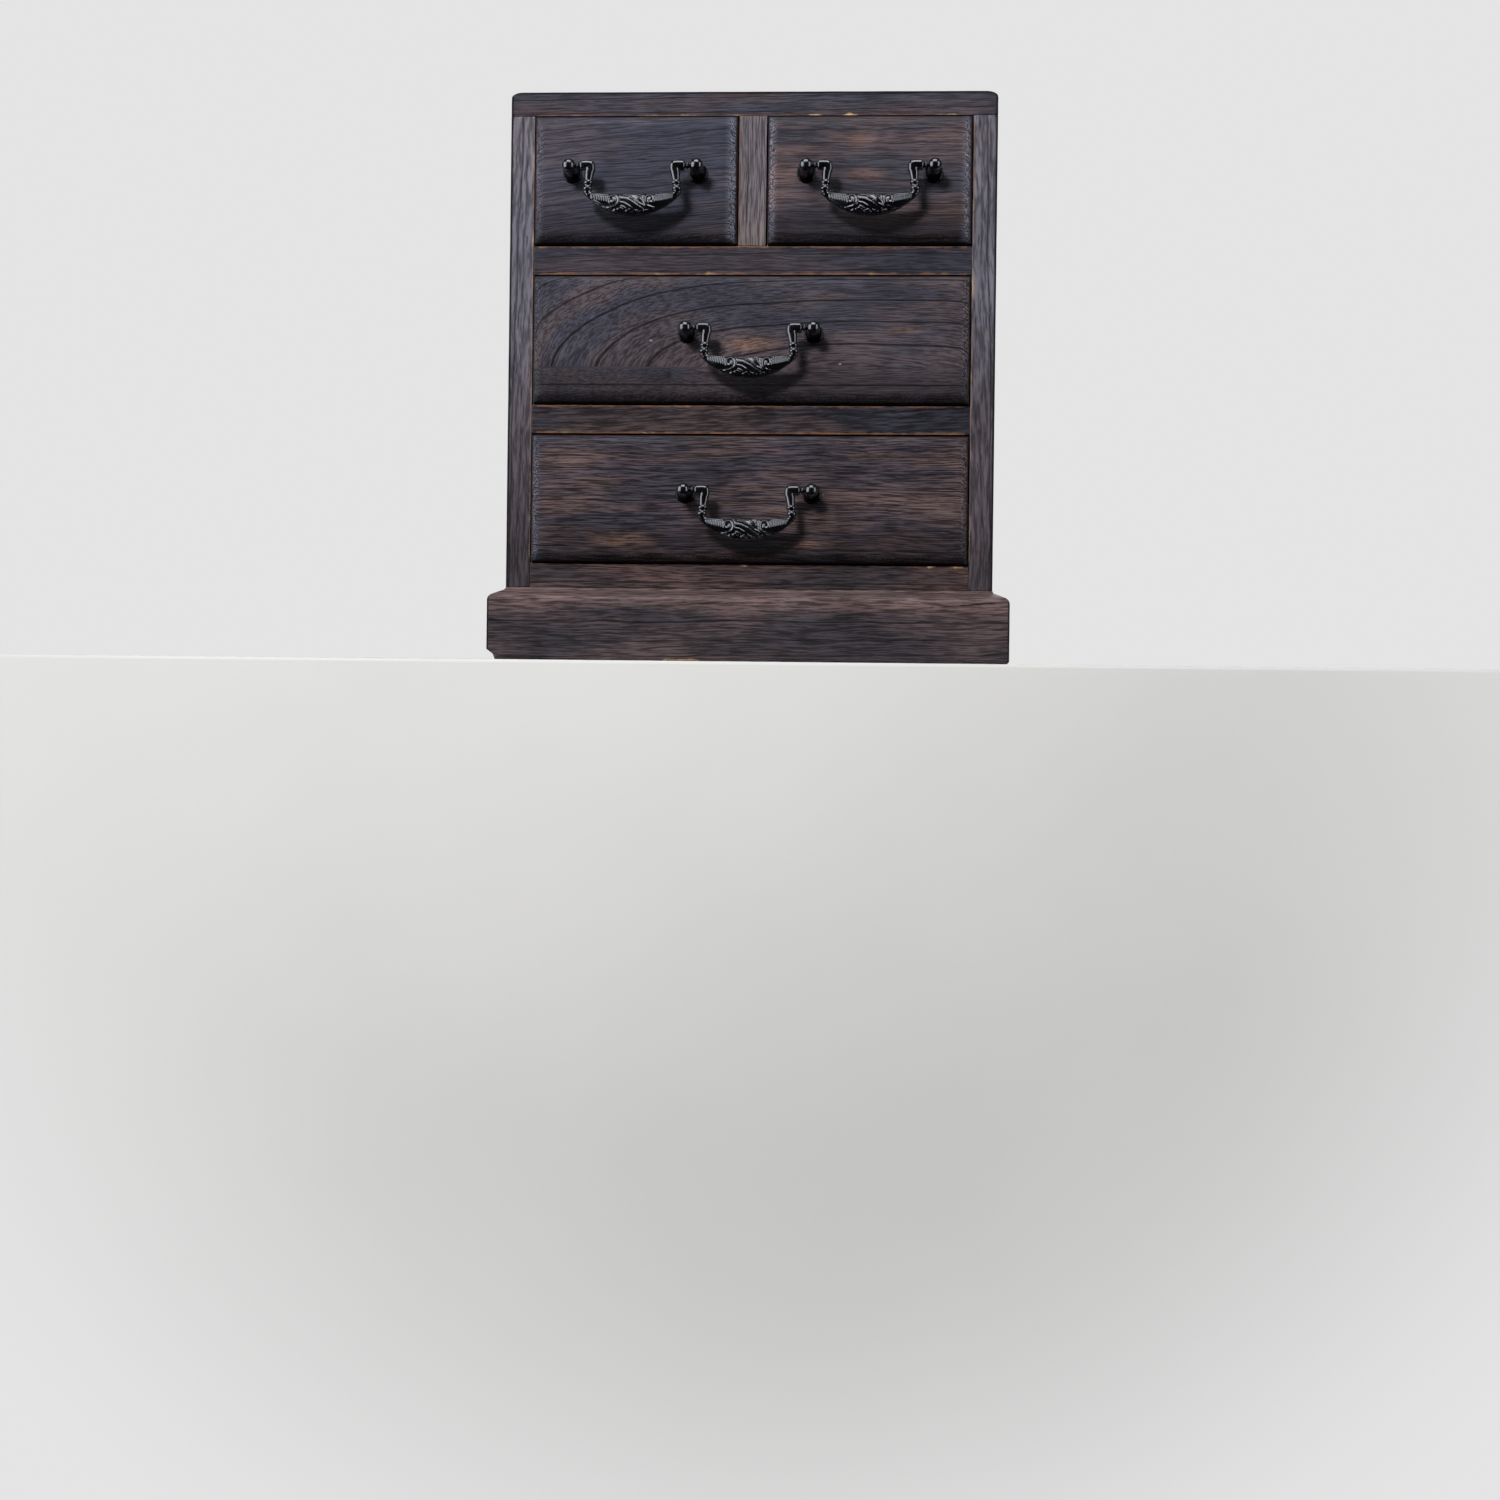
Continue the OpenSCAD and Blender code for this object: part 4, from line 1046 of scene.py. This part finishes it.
for name in DRAWERS:
    low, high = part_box(name + "_handle_posts")
    spots = {
        "Count": 2,
        "First": Vector(((low.x + high.x - POST_SPAN) / 2, high.y, (low.z + high.z) / 2)),
        "Step": Vector((POST_SPAN, 0, 0)),
        "Turn": Vector((pi / 2, 0, 0)),
        "Material": lacquer,
    }
    thing = worked(name + "_posts_lacquered", post.copy(), [(in_a_row, spots)])
    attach(thing, name)
    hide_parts(name + "_handle_posts")


# Handle screws
# Slotted steel screws with a bright zinc coat, driven from inside each drawer into its posts.
screw_zinc, tree, body, here = new_finish("screw_zinc")
cloud = noise(here, 350.0, 4.0)
inputs = {
    "Base Color": cloud.spread(0.35, 0.65).blend(paint(168, 170, 174), paint(196, 197, 199)),
    "Roughness": cloud.spread(0.3, 0.7, 0.28, 0.42),
    "Metallic": 1.0,
    "Normal": bump(cloud, 0.2, 0.03),
}
feed(body, inputs)
for name in DRAWERS:
    dress(name + "_handle_screws", screw_zinc)


# Bails
# Each is one casting that swings on a pin in the balls of its posts: square-shouldered arms, legs with two rings,
# and a crescent grip with a scroll at each end, flutes behind the scrolls and waved lines between them.
ARM_R, LEG_R, RING_R, RING_T = 2.5, 1.95, 2.5, 1.7
ELBOW_X, ARM_END, SPLAY = 21.1, 26.3, 0.111
RING_1, RING_2, RINGS_END = 8.8, 11.8, 12.65
GRIP_HALF, GRIP_TOP, GRIP_LOW, GRIP_R = 24.5, 14.5, 25.1, 32.6
GRIP_HALF_DEPTH, RECESS, RECESS_FROM, RECESS_FADE = 3.5, 0.5, 0.25, 0.35


def station(lower, upper, half_depth, squareness):
    """A cross-section: where its lower and upper sides lie, and from 2 for round to more for square."""
    return [*lower, *upper, half_depth, squareness]


def leg_x(drop):
    """How far out a leg's middle lies at a depth under the pin."""
    return ELBOW_X + SPLAY * drop


stations = [
    station((ARM_END, -1.8), (ARM_END, 1.8), 1.8, 2.0),
    station((ARM_END - 0.2, -2.25), (ARM_END - 0.2, 2.25), 2.25, 2.2),
    station((ARM_END - 0.8, -ARM_R), (ARM_END - 0.8, ARM_R), ARM_R, 2.4),
]
for a in np.linspace(0, pi / 2, 15):
    reach = 2 * ARM_R / (cos(a) ** 4 + sin(a) ** 4) ** 0.25
    inner = (ELBOW_X + ARM_R, -ARM_R)
    stations.append(station(inner, (inner[0] - reach * sin(a), inner[1] + reach * cos(a)), ARM_R, 2.4))
for drop, r, squareness in ((3.6, 2.45, 2.3), (5.0, 2.3, 2.2), (6.4, 2.15, 2.1), (7.5, 2.0, 2.0)):
    stations.append(station((leg_x(drop) + r, -drop), (leg_x(drop) - r, -drop), r, squareness))
for ring in (RING_1, RING_2):
    for a in np.linspace(-pi / 2, pi / 2, 9):
        drop, r = ring + RING_T / 2 * sin(a), LEG_R + (RING_R - LEG_R) * cos(a)
        stations.append(station((leg_x(drop) + r, -drop), (leg_x(drop) - r, -drop), r, 2.0))
GRIP_STEPS, GRIP_FADE = 120, 11
for t in np.linspace(0, 1, GRIP_STEPS + 1):
    upper_x = (leg_x(RINGS_END) - LEG_R) * (1 - t)
    lower_x = GRIP_HALF * (1 - t)
    rise = max(0.0, 1 - t / 0.5) ** 2
    stations.append(
        station(
            (lower_x, -GRIP_LOW + GRIP_R - (GRIP_R**2 - lower_x**2) ** 0.5),
            (upper_x, -GRIP_TOP + (GRIP_TOP - RINGS_END - 0.6) * rise),
            LEG_R + (GRIP_HALF_DEPTH - LEG_R) * sin(pi / 2 * t),
            2.0 + 0.5 * min(1.0, 3 * t),
        )
    )
stations = np.array(stations)
mirrored = stations[-2::-1] * np.array([-1, 1, -1, 1, 1, 1])
stations = np.vstack([stations, mirrored])
FRONT_SIDES, BACK_SIDES = 96, 24
angles = np.concatenate(
    [np.linspace(0, pi, BACK_SIDES, endpoint=False), np.linspace(pi, 2 * pi, FRONT_SIDES, endpoint=False)]
)
low_point, high_point = stations[:, None, 0:2], stations[:, None, 2:4]
power = 2 / stations[:, None, 5]
c, s = np.cos(angles)[None, :], np.sin(angles)[None, :]
flat_c, flat_s = np.sign(c) * np.abs(c) ** power, np.sign(s) * np.abs(s) ** power
plan = (low_point + high_point) / 2 + (low_point - high_point) / 2 * flat_c[..., None]
deep = stations[:, None, 4] * flat_s


def scroll(side):
    """The ridge along the lower edge that curls into a scroll, and the flutes and the line above it."""
    edge = [(-22.8, -15.2), (-20.8, -17.9), (-18.3, -20.0), (-15.5, -21.5), (-12.7, -22.1), (-10.4, -21.8)]
    turns = np.radians(np.linspace(-75, 345, 30))
    sizes = np.linspace(3.5, 0.9, 30)
    curl = [(-9.4 + r * cos(a), -17.9 + r * sin(a)) for a, r in zip(turns, sizes)]
    flutes = [[(-20.1 + 1.2 * k, -15.2), (-19.5 + 1.2 * k, -16.9 - 0.25 * k)] for k in range(8)]
    upper = [(-21.2, -14.6), (-18.0, -14.4), (-12.0, -14.9)]
    strokes = [(edge + curl, 0.55, 1.0), (upper, 0.36, 0.6)] + [(f, 0.33, 0.8) for f in flutes]
    return [([(side * x, z) for x, z in line], width, height) for line, width, height in strokes]


strokes = scroll(1) + scroll(-1)
strokes += [
    ([(-5.7, -15.6), (-1.5, -16.0), (1.3, -17.6), (4.0, -20.0), (6.8, -21.2)], 0.34, 0.9),
    ([(-6.2, -17.4), (-2.9, -17.7), (0.6, -19.2), (3.3, -21.2), (5.6, -22.4)], 0.34, 0.9),
    ([(-4.3, -14.9), (1.3, -15.2), (4.5, -16.9), (6.4, -19.0)], 0.3, 0.8),
    ([(-6.2, -19.2), (-3.6, -19.7), (-1.0, -21.2), (1.2, -23.0)], 0.32, 0.8),
    ([(5.6, -15.2), (4.9, -16.2)], 0.3, 0.7),
    ([(7.0, -15.0), (6.2, -16.8)], 0.3, 0.7),
    ([(-9.4, -23.6), (-8.2, -22.9)], 0.4, 0.8),
    ([(-6.8, -22.7), (-5.4, -22.1), (-4.4, -22.7)], 0.4, 0.8),
    ([(-4.9, -21.2), (-3.1, -22.2)], 0.34, 0.8),
    ([(-2.6, -23.6), (-1.0, -22.9), (0.2, -23.9)], 0.4, 0.8),
    ([(2.4, -23.2), (3.8, -23.7)], 0.36, 0.8),
    ([(6.2, -23.4), (7.8, -22.9)], 0.36, 0.8),
]
height = np.zeros(deep.shape)
for line, width, tall in strokes:
    for (ax, az), (bx, bz) in zip(line, line[1:]):
        span = np.array([bx - ax, bz - az])
        rel = plan - np.array([ax, az])
        t = np.clip((rel @ span) / (span @ span), 0, 1)
        away = np.linalg.norm(rel - t[..., None] * span, axis=2)
        height = np.maximum(height, tall * np.exp(-((away / width) ** 2)))
grip_start = len(stations) // 2 - GRIP_STEPS
grip_end = len(stations) - grip_start
is_grip = np.interp(
    np.arange(len(stations)),
    (grip_start, grip_start + GRIP_FADE, grip_end - 1 - GRIP_FADE, grip_end - 1),
    (0.0, 1.0, 1.0, 0.0),
)
facing = np.clip((-s - RECESS_FROM) / RECESS_FADE, 0, 1) * is_grip[:, None]
deep += RECESS * facing * (1 - height)
tube = np.stack([plan[..., 0], deep, plan[..., 1]], axis=2).reshape(-1, 3) * MM
PIN_R, BEAD_R, BEAD_X, PIN_END, PIN_SIDES = 1.2, 1.8, 27.5, 33.0, 32
pin_line = [(0, ARM_END - 1), (PIN_R, ARM_END - 1)]
pin_line += [(max(PIN_R, BEAD_R * sin(a)), BEAD_X - 0.9 * cos(a)) for a in np.radians(np.linspace(40, 140, 12))]
pin_line += [(PIN_R, PIN_END - 0.2), (PIN_R - 0.2, PIN_END), (0, PIN_END)]
pin = lathe("pin", [(r * MM, h * MM) for r, h in pin_line], PIN_SIDES)
points, faces = [tuple(p) for p in tube], tube_faces(len(stations), len(angles))
for sign in (1, -1):
    first = len(points)
    points += [(sign * v.co.z, v.co.x, sign * v.co.y) for v in pin.vertices]
    faces += [tuple(first + i for i in p.vertices) for p in pin.polygons]
bail = new_mesh("bail", points, faces)
bail.validate()
bpy.data.meshes.remove(pin)

for name in DRAWERS:
    low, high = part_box(name + "_handle_posts")
    mesh = bail.copy()
    pivot = Vector(((low.x + high.x) / 2, high.y - BALL_STAND * MM, (low.z + high.z) / 2))
    mesh.transform(Matrix.Translation(pivot))
    mesh.shade_smooth()
    thing = new_object(name.replace("_drawer", "_bail") + "_lacquered", mesh)
    mesh.materials.append(lacquer)
    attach(thing, name.replace("_drawer", "_bail"))
    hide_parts(name + "_bail")


# The scene is brought up to date
bpy.context.view_layer.update()
